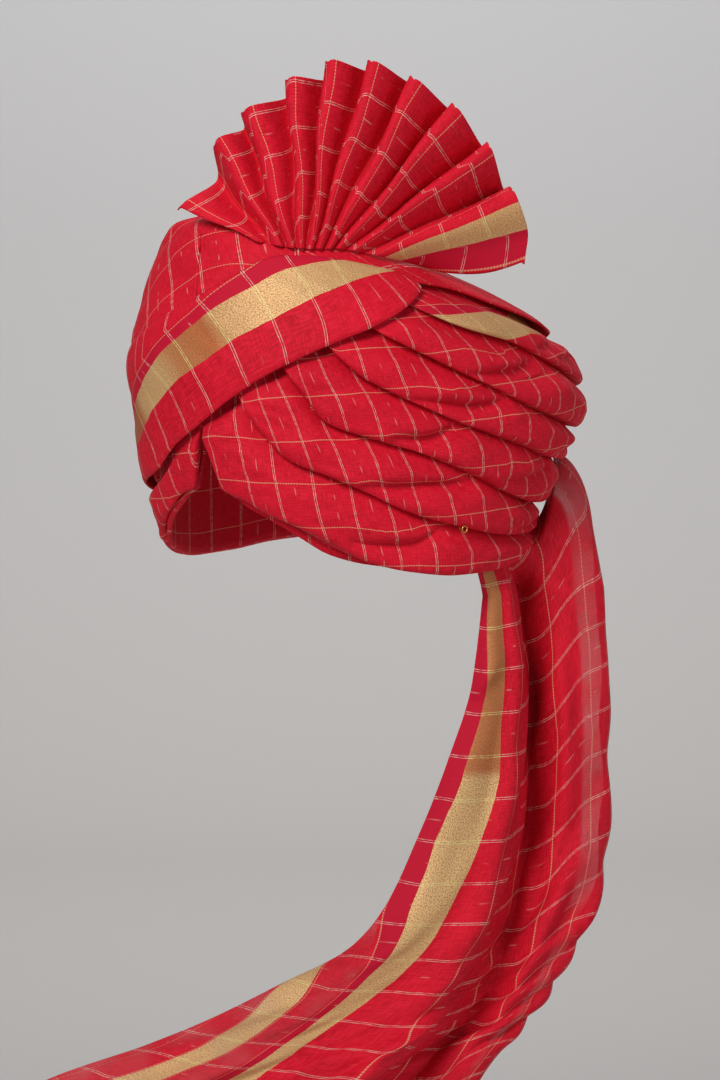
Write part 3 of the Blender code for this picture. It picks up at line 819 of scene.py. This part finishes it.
# Angle and height in percent along the border's lower and upper edge
borderLow = np.array([
    (-80, 24.0), (-62, 27.0), (-45, 30.5), (-22.8, 36.6), (2.7, 52.7), (13.3, 59.0), (24.2, 65.6),
    (35.9, 71.5), (49.7, 77.1), (69.5, 81.9), (89.5, 84.2), (97.3, 84.5),
])
borderHigh = np.array([
    (-80, 34.0), (-62, 35.5), (-45, 38.0), (-29.3, 42.5), (-14.3, 51.6), (-0.8, 61.7), (7.9, 67.8),
    (18.2, 74.3), (31.4, 79.8), (50.4, 85.1), (74.5, 87.2), (85.3, 86.4), (97.3, 84.8),
])
# For each double weft: its angle at the band's lower edge and at the upper edge of the border
bandWefts = np.array([
    (-102, -102), (-91, -92), (-80, -83), (-69, -74), (-58, -65), (-47, -55), (-36, -46),
    (-25, -36), (-9.5, -21.5), (-2.2, -12.0), (6.8, -6.0), (16.2, 4.5), (28.0, 16.5), (38.8, 32.5),
    (49.3, 52.0), (61.8, 70.5), (77.0, 90.0), (88.0, 104.0),
])


def bandAngle(a):
    return bandTable[0, 0] + (bandTable[-1, 0] - bandTable[0, 0]) * a


def placeBand(a, b):
    angle = bandAngle(a)
    low, high = bandEdge(angle, 1), bandEdge(angle, 2)
    z = low + (high - low) * b
    fromLow, fromHigh = (high - low) * b, (high - low) * (1 - b)
    radius = bandShape["edgeRadius"]
    roll = np.clip(1 - fromLow / radius, 0, 1) ** 2 * bandShape["lowRoll"]
    roll = roll + np.clip(1 - fromHigh / radius, 0, 1) ** 2 * bandShape["highRoll"]
    wave = ripples(31, bandShape["waves"], np.radians(angle) * bandShape["radius"], z)
    wave = np.clip(wave, *bandShape["waveRange"]) * np.sin(math.pi * b) ** 0.5
    return formPoint(angle, z, roll - bandShape["proud"] + wave)


def weaveBand(points, a, b):
    angle = bandAngle(a)
    percent = percentOf(points[..., 2])
    low, high = percentOf(bandEdge(angle, 1)), percentOf(bandEdge(angle, 2))
    lower = np.minimum(curve(borderLow[:, 0], borderLow[:, 1], angle), high - 0.1)
    upper = np.minimum(curve(borderHigh[:, 0], borderHigh[:, 1], angle), high)
    upper = np.maximum(upper, lower + 0.05)
    start, stop = pattern["borderLow"], pattern["borderHigh"]
    v = np.where(percent < lower, start * (percent - low) / (lower - low), 0.0)
    inside = start + (stop - start) * (percent - lower) / (upper - lower)
    v = np.where((percent >= lower) & (percent < upper), inside, v)
    above = stop + (percent - upper) / 100 * wrapHeight
    v = np.where(percent >= upper, above, v)
    # a weft is where its own two angles, blended up the band, meet this angle
    share = np.clip(v / stop, 0, 1.3) ** bandShape["weftBend"]
    u = np.zeros_like(v)
    numbers = np.arange(len(bandWefts))
    for spot in np.ndindex(v.shape):
        line = bandWefts[:, 0] + (bandWefts[:, 1] - bandWefts[:, 0]) * share[spot]
        u[spot] = np.interp(angle[spot], line, numbers)
    shift = bandShape["lowShift"] - bandShape["lowShift"] * np.clip(v / start, 0, 1)
    return np.stack([u * check, v + shift], axis=-1)


band = shapeCloth("frontBand", bandShape["columns"], bandShape["rows"], placeBand, weaveBand)
thickenCloth(band, bandShape["wall"], -1.0)
finishPiece(band, clothBand, "front_band")
print("band laid")

# Pleated fan. For each ridge: angle and percent of its foot, its tip sideways, up and back in
# shares of the reach, how far the valley's end lies below the next tip, and where its wefts
# start, in shares of a check.
fanShape = {
    "reach": 0.110,
    "wall": 0.0012,
    "seat": 0.002,
    "footLift": 0.0019,
    "angle": 69.0,
    "percent": 90.2,
    "facing": 50.0,
    "footDepth": 0.0040,
    "tipDepth": 0.0250,
    "tipDrawn": 1.10,  # the valley's end past the next tip, and how much lower it lies
    "tipShare": 0.955,
    "columnsPerPleat": 22,
    "rows": 110,
    "rounding": 8,
    "swell": 0.0085,
    "sway": 0.0016,
    "corner": 0.0020,
    "cornerWidth": 0.25,
    "cornerHeight": 0.03,
    "hemSag": 0.05,
    "hem": (0.042, 0.050),  # from where to where on the cloth the hem runs
}
fanTable = np.array([
    (45, 92.3, -0.68, 0.21, 0.14, 0.20, 0.30),
    (53, 91.0, -0.51, 0.54, 0.12, 0.08, 0.55),
    (58, 90.5, -0.37, 0.69, 0.08, 0.08, 0.20),
    (62, 90.3, -0.15, 0.85, 0.04, 0.08, 0.10),
    (66, 90.2, 0.05, 0.94, 0.00, 0.03, 0.93),
    (70, 90.2, 0.26, 0.94, 0.00, 0.00, 0.75),
    (75, 90.2, 0.47, 0.86, 0.04, 0.00, 0.80),
    (80, 90.3, 0.68, 0.73, 0.10, 0.00, 0.85),
    (86, 89.8, 0.86, 0.54, 0.20, 0.00, 0.60),
    (94, 88.6, 0.98, 0.32, 0.32, 0.00, 0.90),
    (106, 87.2, 1.07, 0.09, 0.40, 0.00, 0.50),
])
fanHem = (116, 85.5, 1.05, -0.06, 0.42)  # foot and tip of the cloth's edge in the same way
fanFacing = math.radians(fanShape["facing"])
fanSideways = np.array((math.cos(fanFacing), math.sin(fanFacing), 0.0))
fanTowards = np.array((fanSideways[1], -fanSideways[0], 0.0))
fanMiddle = formPoint(np.float64(fanShape["angle"]), height(fanShape["percent"]))


def fanFoot(angle, percent, forward):
    return formPoint(np.float64(angle), height(percent), -fanShape["footLift"] - forward)


def fanTip(side, rise, back):
    offset = fanSideways * side + np.array((0, 0, rise)) - fanTowards * back
    return fanMiddle + offset * fanShape["reach"]


def fanPath():
    # foot and tip of the lines that the cloth is pleated along, with the weave's place on each
    lines = []
    for i, row in enumerate(fanTable):
        tip = fanTip(*row[2:5])
        across = (2 * (i + 1 - len(fanTable)) - 0.25) * check
        lines.append((fanFoot(row[0], row[1], fanShape["seat"]), tip, across, row[6]))
        if i >= len(fanTable) - 2:
            continue  # the last two faces lie flat, with no valley between them
        after = fanTable[i + 1]
        end = fanTip(after[2], after[3] - row[5], after[4])
        drawn = tip + (end - tip) * fanShape["tipDrawn"] - fanMiddle
        valleyTip = fanMiddle + drawn * fanShape["tipShare"] - fanTowards * fanShape["tipDepth"]
        valleyFoot = fanFoot((row[0] + after[0]) / 2, (row[1] + after[1]) / 2, 0.0)
        valleyFoot = valleyFoot - fanTowards * fanShape["footDepth"]
        lines.append((valleyFoot, valleyTip, across + check, row[6]))
    lines.append((fanFoot(fanHem[0], fanHem[1], 0.0), fanTip(*fanHem[2:]), 0.0, 0.5))
    return lines


fanLines = fanPath()
fanFaces = len(fanLines) - 1


def fanFace(a):
    # place along the lines, number of the face there and the share of it that is passed
    spot = a * fanFaces
    i = np.minimum(spot.astype(int), fanFaces - 1)
    return spot, i, spot - i


def placeFan(a, b):
    spot, i, share = fanFace(a)
    feet = np.array([line[0] for line in fanLines])
    tips = np.array([line[1] for line in fanLines])
    points = mix(mix(feet[i], tips[i], b), mix(feet[i + 1], tips[i + 1], b), share)
    # the faces swell a little and the pleats bend where they were pressed
    swell = fanShape["swell"] * np.sin(math.pi * share ** 0.75) * (i % 2 == 0) * b ** 0.8
    sway = fanShape["sway"] * np.sin(b * 6.5 + i * 0.9) * np.sin(math.pi * b)
    points = points + fanTowards * swell[..., None] + fanSideways * sway[..., None]
    hem = (i == fanFaces - 1) * share
    points[..., 2] -= hem * fanShape["hemSag"] * fanShape["reach"] * 4 * b * (1 - b)
    # rounding the ridges and valleys, tighter at the foot
    for _ in range(fanShape["rounding"]):
        near = points.copy()
        near[:, 1:-1] = 0.5 * points[:, 1:-1] + 0.25 * (points[:, :-2] + points[:, 2:])
        points = near
    # the pleats' upper corners are a little worn down
    fromRidge = np.abs(spot / 2 - np.rint(spot / 2)) * 2
    worn = np.clip(1 - fromRidge / fanShape["cornerWidth"], 0, 1) ** 2
    top = np.clip((b - 1) / fanShape["cornerHeight"] + 1, 0, 1)
    points[..., 2] -= fanShape["corner"] * worn * top
    return points


def weaveFan(points, a, b):
    spot, i, share = fanFace(a)
    across = np.array([line[2] for line in fanLines])
    across[-3:] = (0.0, *fanShape["hem"])  # the last face carries the border, the hem its selvedge
    phase = np.array([line[3] for line in fanLines])
    v = across[i] * (1 - share) + across[i + 1] * share
    places = (0, pattern["borderLow"], pattern["borderHigh"], fanShape["hem"][0])
    v = np.where(i == fanFaces - 2, np.interp(share, (0, 0.36, 0.96, 1), places), v)
    radius = travelled(points, 0)
    return np.stack([radius - radius[-1] + phase[i] * check, v], axis=-1)


fanColumns = fanFaces * fanShape["columnsPerPleat"] // 2
fan = shapeCloth("pleatedFan", fanColumns, fanShape["rows"], placeFan, weaveFan)
thickenCloth(fan, fanShape["wall"], 0.0)
finishPiece(fan, clothWound, "fan")
print("fan pleated")

# Tail. Height as a share of the drop below the hat-band, sideways places of its left edge,
# border crease, inner valley and right edge, and how far the left edge, valley and right
# edge stand towards the wearer's left front, in shares of the reach.
tailShape = {
    "drop": 0.340,
    "reach": 0.250,
    "lift": 0.0012,
    "clear": 0.0008,
    "below": 0.0015,
    "billow": 0.009,
    "wall": 0.0009,
    "columns": 190,
    "rows": 240,
    "joining": 0.16,
    "hidden": 0.04,
    "hiddenTurn": 16,  # degrees and percent that the rows behind the turban run on
    "hiddenClimb": 7,
    "edgeTuck": 0.012,
    "fade": (0.6, 1.8),  # where waves and single folds begin, in shares of the joining
    "waves": [(4, 0.140, 0.055, 0.0014), (4, 0.090, 0.028, 0.0003)],
}
tailTable = np.array([
    (0.15, 0.355, 0.42, 0.445, 0.636, 0.145, 0.04, -0.08),
    (0.29, 0.333, 0.44, 0.468, 0.648, 0.16, 0.02, -0.06),
    (0.42, 0.275, 0.43, 0.475, 0.65, 0.195, 0.03, -0.05),
    (0.54, 0.21, 0.41, 0.472, 0.65, 0.24, 0.055, -0.035),
    (0.64, 0.14, 0.375, 0.45, 0.635, 0.30, 0.09, -0.01),
    (0.70, 0.065, 0.34, 0.43, 0.605, 0.345, 0.125, 0.02),
    (0.77, -0.12, 0.27, 0.40, 0.55, 0.41, 0.17, 0.06),
    (0.84, -0.38, 0.18, 0.355, 0.48, 0.49, 0.22, 0.10),
    (0.91, -0.65, 0.04, 0.24, 0.39, 0.58, 0.29, 0.15),
    (1.00, -0.70, -0.06, 0.13, 0.30, 0.64, 0.36, 0.22),
])
# The ten points across the tail: shares of the sideways places, shares of the three outward
# ones, and how far each stands out beyond that
tailSpots = np.array([
    (1, 0, 0, 0, 1, 0, 0, 0),
    (2 / 3, 1 / 3, 0, 0, 1, 0, 0, 0.010),
    (1 / 3, 2 / 3, 0, 0, 2 / 3, 1 / 3, 0, 0.030),
    (0, 1, 0, 0, 1 / 2, 1 / 2, 0, 0.035),
    (0, 1 / 2, 1 / 2, 0, 0, 1, 0, 0.010),
    (0, 0, 1, 0, 0, 1, 0, -0.100),
    (0, 0, 2 / 3, 1 / 3, 0, 2 / 3, 1 / 3, 0.010),
    (0, 0, 1 / 3, 2 / 3, 0, 1 / 3, 2 / 3, 0.040),
    (0, 0, 0, 1, 0, 1 / 5, 4 / 5, 0.030),
    (0, 0, 0, 1, 0, 0, 1, 0),
])
tailSpans = len(tailSpots) - 1
tailOver = 6  # number of the first point that climbs over the turban
# Where those points leave the turban: angle, how deep under the rim in metres, or how far they
# climb above it in percent
tailTop = [
    (105, 0.013, 0),
    (109, 0.013, 0),
    (113, 0.012, 0),
    (117, 0.010, 0),
    (120, 0.011, 0),
    (125, 0.012, 0),
    (134, 0, 7),
    (143, 0, 20),
    (150, 0, 24),
    (158, 0, 30),
]
# Where the border lies on the tail: height share, its left and right edge counted in points
# from the tail's left edge (0) to the crease (3), and how fast the cloth runs on past its
# left edge
tailBorder = np.array([
    (0.0, 0.55, 1.75, 0.010),
    (0.15, 0.60, 1.85, 0.010),
    (0.35, 0.93, 2.07, 0.009),
    (0.45, 0.81, 2.37, 0.0094),
    (0.56, 0.66, 2.13, 0.011),
    (0.64, 0.74, 1.89, 0.012),
    (0.70, 1.05, 1.93, 0.020),
    (0.77, 1.42, 1.95, 0.045),
    (0.84, 1.65, 1.92, 0.060),
    (0.91, 1.80, 2.10, 0.045),
    (1.00, 1.85, 2.15, 0.045),
])
# From the crease on: points across the tail, and the place on the cloth
tailBeyond = ((3, 5, 9), (0.001, -0.032, -0.105))
# Single folds on the tail: start and end as metres to the side and up, how far each stands
# out, and its width on its upper and lower side
tailFolds = np.array([
    (0.003, -0.322, 0.084, -0.268, 0.013, 0.005, 0.014),
    (0.020, -0.335, 0.070, -0.298, 0.009, 0.003, 0.010),
    (0.126, -0.075, 0.142, -0.185, 0.008, 0.007, 0.014),
    (0.138, -0.200, 0.096, -0.300, 0.009, 0.006, 0.016),
    (0.118, -0.190, 0.098, -0.290, 0.006, 0.004, 0.010),
    (0.096, -0.075, 0.088, -0.110, 0.004, 0.005, 0.007),
    (-0.080, -0.308, -0.012, -0.283, 0.008, 0.004, 0.012),
])


def foldedOut(points):
    # how far the single folds push each point towards the front
    side, up = points @ fanSideways, points[..., 2]
    total = np.zeros(side.shape)
    for startSide, startUp, endSide, endUp, rise, above, below in tailFolds:
        length = math.hypot(endSide - startSide, endUp - startUp)
        alongSide, alongUp = (endSide - startSide) / length, (endUp - startUp) / length
        run = ((side - startSide) * alongSide + (up - startUp) * alongUp) / length
        off = (up - startUp) * alongSide - (side - startSide) * alongUp
        bend = 0.004 * np.sin(run * 5)  # none of them is quite straight
        width = np.where(off > bend, above, below)
        bump = np.exp(-((off - bend) / width) ** 2) * np.sin(math.pi * np.clip(run, 0, 1)) ** 0.8
        total = total + rise * bump
    return total


def tailSection(drop):
    row = np.array([curve(tailTable[:, 0], column, drop) for column in tailTable[:, 1:].T])
    sides = tailSpots[:, :4] @ row[:4]
    sides[-1] -= tailShape["edgeTuck"]
    outs = tailSpots[:, 4:7] @ row[4:] + tailSpots[:, 7]
    level = np.array((0, 0, -drop * tailShape["drop"]))
    spread = np.outer(sides, fanSideways) + np.outer(outs, fanTowards)
    return spread * tailShape["reach"] + level


def tailStart(hidden=0.0):
    # the first row of the tail, or a row behind the turban up to 1 for the end of the cloth
    points = []
    for angle, depth, climb in tailTop:
        angle = np.float64(angle)
        if climb:
            angle = angle + tailShape["hiddenTurn"] * hidden
            climb = climb + tailShape["hiddenClimb"] * hidden
            points.append(formPoint(angle, height(climb), -tailShape["lift"]))
            continue
        z = creaseHeight("rim", angle)
        outer, foot = formPoint(angle, z), corePoint(angle, z + wrap["lapRise"], wrap["gap"])
        share = min(depth / np.linalg.norm(outer - foot), 0.8)
        points.append(outer + (foot - outer) * share - np.array((0, 0, tailShape["below"])))
    return np.array(points)


def outsideForm(points):
    # moves points that would lie inside the turban out onto it
    side, middle, half = bodyLevel(points[..., 2])
    angle = np.degrees(np.arctan2(points[..., 0] / side, (middle - points[..., 1]) / half))
    rest = formPoint(angle, points[..., 2], -tailShape["lift"] - tailShape["clear"])
    centre = np.stack([0 * middle, middle, points[..., 2]], axis=-1)
    inside = np.linalg.norm(points - centre, axis=-1) < np.linalg.norm(rest - centre, axis=-1)
    return np.where(inside[..., None], rest, points)


def spline(table, x):
    # Catmull-Rom through equally spaced points
    i = np.clip(np.floor(x).astype(int), 0, len(table) - 2)
    t = (x - i)[..., None]
    before, after = table[np.maximum(i - 1, 0)], table[np.minimum(i + 2, len(table) - 1)]
    here, there = table[i], table[i + 1]
    squared = (2 * before - 5 * here + 4 * there - after) * t ** 2
    cubed = (3 * here - before - 3 * there + after) * t ** 3
    return 0.5 * (2 * here + (there - before) * t + squared + cubed)


def tailDrop(down):
    # share of the drop at a share of the rows, from the joining on
    first, joining = tailTable[0, 0], tailShape["joining"]
    return first + (1 - first) * (down - joining) / (1 - joining)


def placeTail(a, b):
    top = tailStart()
    joining, hidden = tailShape["joining"], tailShape["hidden"]
    climbs = np.array([spot[2] for spot in tailTop]) / tailTop[-1][2]
    points = np.zeros(a.shape + (3,))
    for row in range(a.shape[0]):
        down = b[row, 0]
        if down < hidden:
            line = tailStart(1 - down / hidden)
        elif down < joining:
            share = (down - hidden) / (joining - hidden)
            swing = tailShape["billow"] * math.sin(math.pi * share ** 0.6)
            line = top + (tailSection(tailTable[0, 0]) - top) * share
            line = line + fanSideways * (climbs * swing)[:, None]
        else:
            line = tailSection(tailDrop(down))
        points[row] = spline(line, a[row] * tailSpans)
        if hidden <= down < joining:
            over = a[row] > tailOver / tailSpans - 1e-6
            points[row, over] = outsideForm(points[row, over])
    down = travelled(points, 0)
    fade = smoothStep(joining * tailShape["fade"][0], joining * tailShape["fade"][1], b)
    wave = ripples(41, tailShape["waves"], down, travelled(points, 1)) * fade
    along = np.gradient(points, axis=0)
    across = np.gradient(points, axis=1)
    normal = np.cross(across, along)
    normal = normal / np.maximum(np.linalg.norm(normal, axis=-1, keepdims=True), 1e-9)
    return points + normal * wave[..., None] + fanTowards * (fade * foldedOut(points))[..., None]


def weaveTail(points, a, b):
    joining = tailShape["joining"]
    drop = np.where(b < joining, tailTable[0, 0] * b / joining, tailDrop(b))
    spot = a * tailSpans
    left, right, rate = (curve(tailBorder[:, 0], tailBorder[:, n], drop) for n in (1, 2, 3))
    start, stop = pattern["borderLow"], pattern["borderHigh"]
    v = stop + (left - spot) * rate
    inside = stop + (start - stop) * (spot - left) / (right - left)
    v = np.where(spot > left, inside, v)
    crease, atCrease = tailBeyond[0][0], tailBeyond[1][0]
    toCrease = start + (atCrease - start) * (spot - right) / (crease - right)
    v = np.where(spot > right, toCrease, v)
    v = np.where(spot > crease, np.interp(spot, *tailBeyond), v)
    # each weft takes half its place from the border crease, and so hangs about level
    u = travelled(points, 0) + check / 2
    middle = u[:, u.shape[1] // 3][:, None]
    return np.stack([0.5 * u + 0.5 * middle, v], axis=-1)


tail = shapeCloth("looseEnd", tailShape["columns"], tailShape["rows"], placeTail, weaveTail)
thickenCloth(tail, tailShape["wall"], 0.0)
finishPiece(tail, clothTail, "tail")
print("tail hung")

# Pin loop in the lowest crease
pinShape = {"angle": 87.0, "wire": 0.0007, "loop": 0.0042, "sink": 0.0009}
pinAngle = np.float64(pinShape["angle"])
pinHeight = creaseHeight("first", pinAngle)
pinMiddle = formPoint(pinAngle, pinHeight, pinShape["sink"])
pinOut = formPoint(pinAngle, pinHeight, -1.0) - pinMiddle  # straight out of the cloth
clearSelection()
bpy.ops.mesh.primitive_torus_add(
    location=tuple(pinMiddle),
    rotation=Vector(pinOut).to_track_quat("Z", "Y").to_euler(),
    major_radius=(pinShape["loop"] - pinShape["wire"]) / 2,
    minor_radius=pinShape["wire"] / 2,
    major_segments=32,
    minor_segments=12,
)
pin = bpy.context.active_object
pin.name = "pinLoop"
bpy.ops.object.transform_apply(location=True, rotation=True, scale=True)
finishPiece(pin, brassMaterial(), "pin")
print("pin set")

# Camera, at the photograph's angle: 0.57 mm a pixel at the origin, which lies at (325, 500)
view = {
    "azimuth": 50.0,
    "elevation": 5.0,
    "distance": 1.87,
    "pixel": 0.00057,
    "origin": (325, 500),
    "frame": (720, 1080),
}
azimuth, elevation = math.radians(view["azimuth"]), math.radians(view["elevation"])
cameraRight = Vector((math.cos(azimuth), math.sin(azimuth), 0))
flatBack = Vector((math.sin(azimuth), -math.cos(azimuth), 0))
cameraBack = flatBack * math.cos(elevation) + Vector((0, 0, math.sin(elevation)))
cameraUp = cameraBack.cross(cameraRight)
offRight = (view["frame"][0] / 2 - view["origin"][0]) * view["pixel"]
offUp = (view["origin"][1] - view["frame"][1] / 2) * view["pixel"]
target = cameraRight * offRight + cameraUp * offUp
bpy.ops.object.camera_add(location=target + cameraBack * view["distance"])
camera = bpy.context.active_object
camera.rotation_euler = Matrix((cameraRight, cameraUp, cameraBack)).transposed().to_euler()
camera.data.sensor_fit = "VERTICAL"
camera.data.sensor_height = 36
camera.data.lens = 36 * view["distance"] / (view["frame"][1] * view["pixel"])
bpy.context.scene.camera = camera

# Pale studio floor that runs up into the backdrop
studio = {
    "floor": -0.80,
    "fadeTop": 1.2,
    "before": 3.5,
    "behind": 3.2,
    "radius": 1.0,
    "wall": 3.0,
    "halfWidth": 4.0,
    "nearGrey": "D8D4D0",
    "farGrey": "D4D4D6",
    "air": "F6F8FF",
    "airPower": 0.21,
}


def placeBackdrop(a, b):
    across = (a - 0.5) * 2 * studio["halfWidth"]
    arc = studio["radius"] * math.pi / 2
    length = studio["before"] + studio["behind"] + arc + studio["wall"]
    run = b * length - studio["before"]
    bend = np.clip((run - studio["behind"]) / studio["radius"], 0, math.pi / 2)
    back = np.minimum(run, studio["behind"]) + studio["radius"] * np.sin(bend)
    rise = studio["radius"] * (1 - np.cos(bend)) + np.clip(run - studio["behind"] - arc, 0, None)
    points = across[..., None] * np.array(cameraRight) - back[..., None] * np.array(flatBack)
    points[..., 2] = studio["floor"] + rise
    return points


def weaveBackdrop(points, a, b):
    return np.stack([a, b], axis=-1)


backdrop = shapeCloth("backdrop", 8, 160, placeBackdrop, weaveBackdrop)
# Matt paper on a roll, a little cooler towards the top
backdropPaint = newMaterial("backdropPaper")
paint = backdropPaint.node_tree
here = addNode(paint, "TexCoord", {}, {}).outputs["Object"]
heightOf = addNode(paint, "SeparateXYZ", {}, {0: here}).outputs["Z"]
shade = ranged(paint, heightOf, studio["floor"], studio["fadeTop"], 0.0, 1.0)
paper = blended(paint, shade, studio["nearGrey"], studio["farGrey"])
addShader(paint, {"Base Color": paper, "Roughness": 0.9})
clearSelection()
backdrop.select_set(True)
bpy.ops.object.shade_smooth()
backdrop.data.materials.append(backdropPaint)

# Soft studio light: a big key from the left of the camera, weak fill from the right, top light
lamps = [
    {"right": -0.75, "up": 1.0, "back": 1.9, "size": 0.9, "power": 37.0},
    {"right": 1.6, "up": 0.3, "back": 1.2, "size": 1.4, "power": 8.0},
    {"right": 0.1, "up": 1.9, "back": -0.3, "size": 1.2, "power": 10.0},
    {"right": 0.0, "up": 2.2, "back": -1.2, "size": 2.0, "power": 62.0, "away": True},
]
for lamp in lamps:
    place = cameraRight * lamp["right"] + cameraUp * lamp["up"] + cameraBack * lamp["back"]
    bpy.ops.object.light_add(type="AREA", location=place)
    light = bpy.context.active_object
    light.data.shape = "DISK"
    light.data.size = lamp["size"]
    light.data.energy = lamp["power"]
    aim = cameraBack if "away" in lamp else place
    light.rotation_euler = Vector(aim).to_track_quat("Z", "Y").to_euler()
world = bpy.data.worlds.new("studioAir")
world.use_nodes = True
air = world.node_tree.nodes["Background"]
air.inputs[0].default_value = hexColour(studio["air"])
air.inputs[1].default_value = studio["airPower"]
bpy.context.scene.world = world
bpy.context.scene.view_settings.view_transform = "Standard"
print("studio lit")
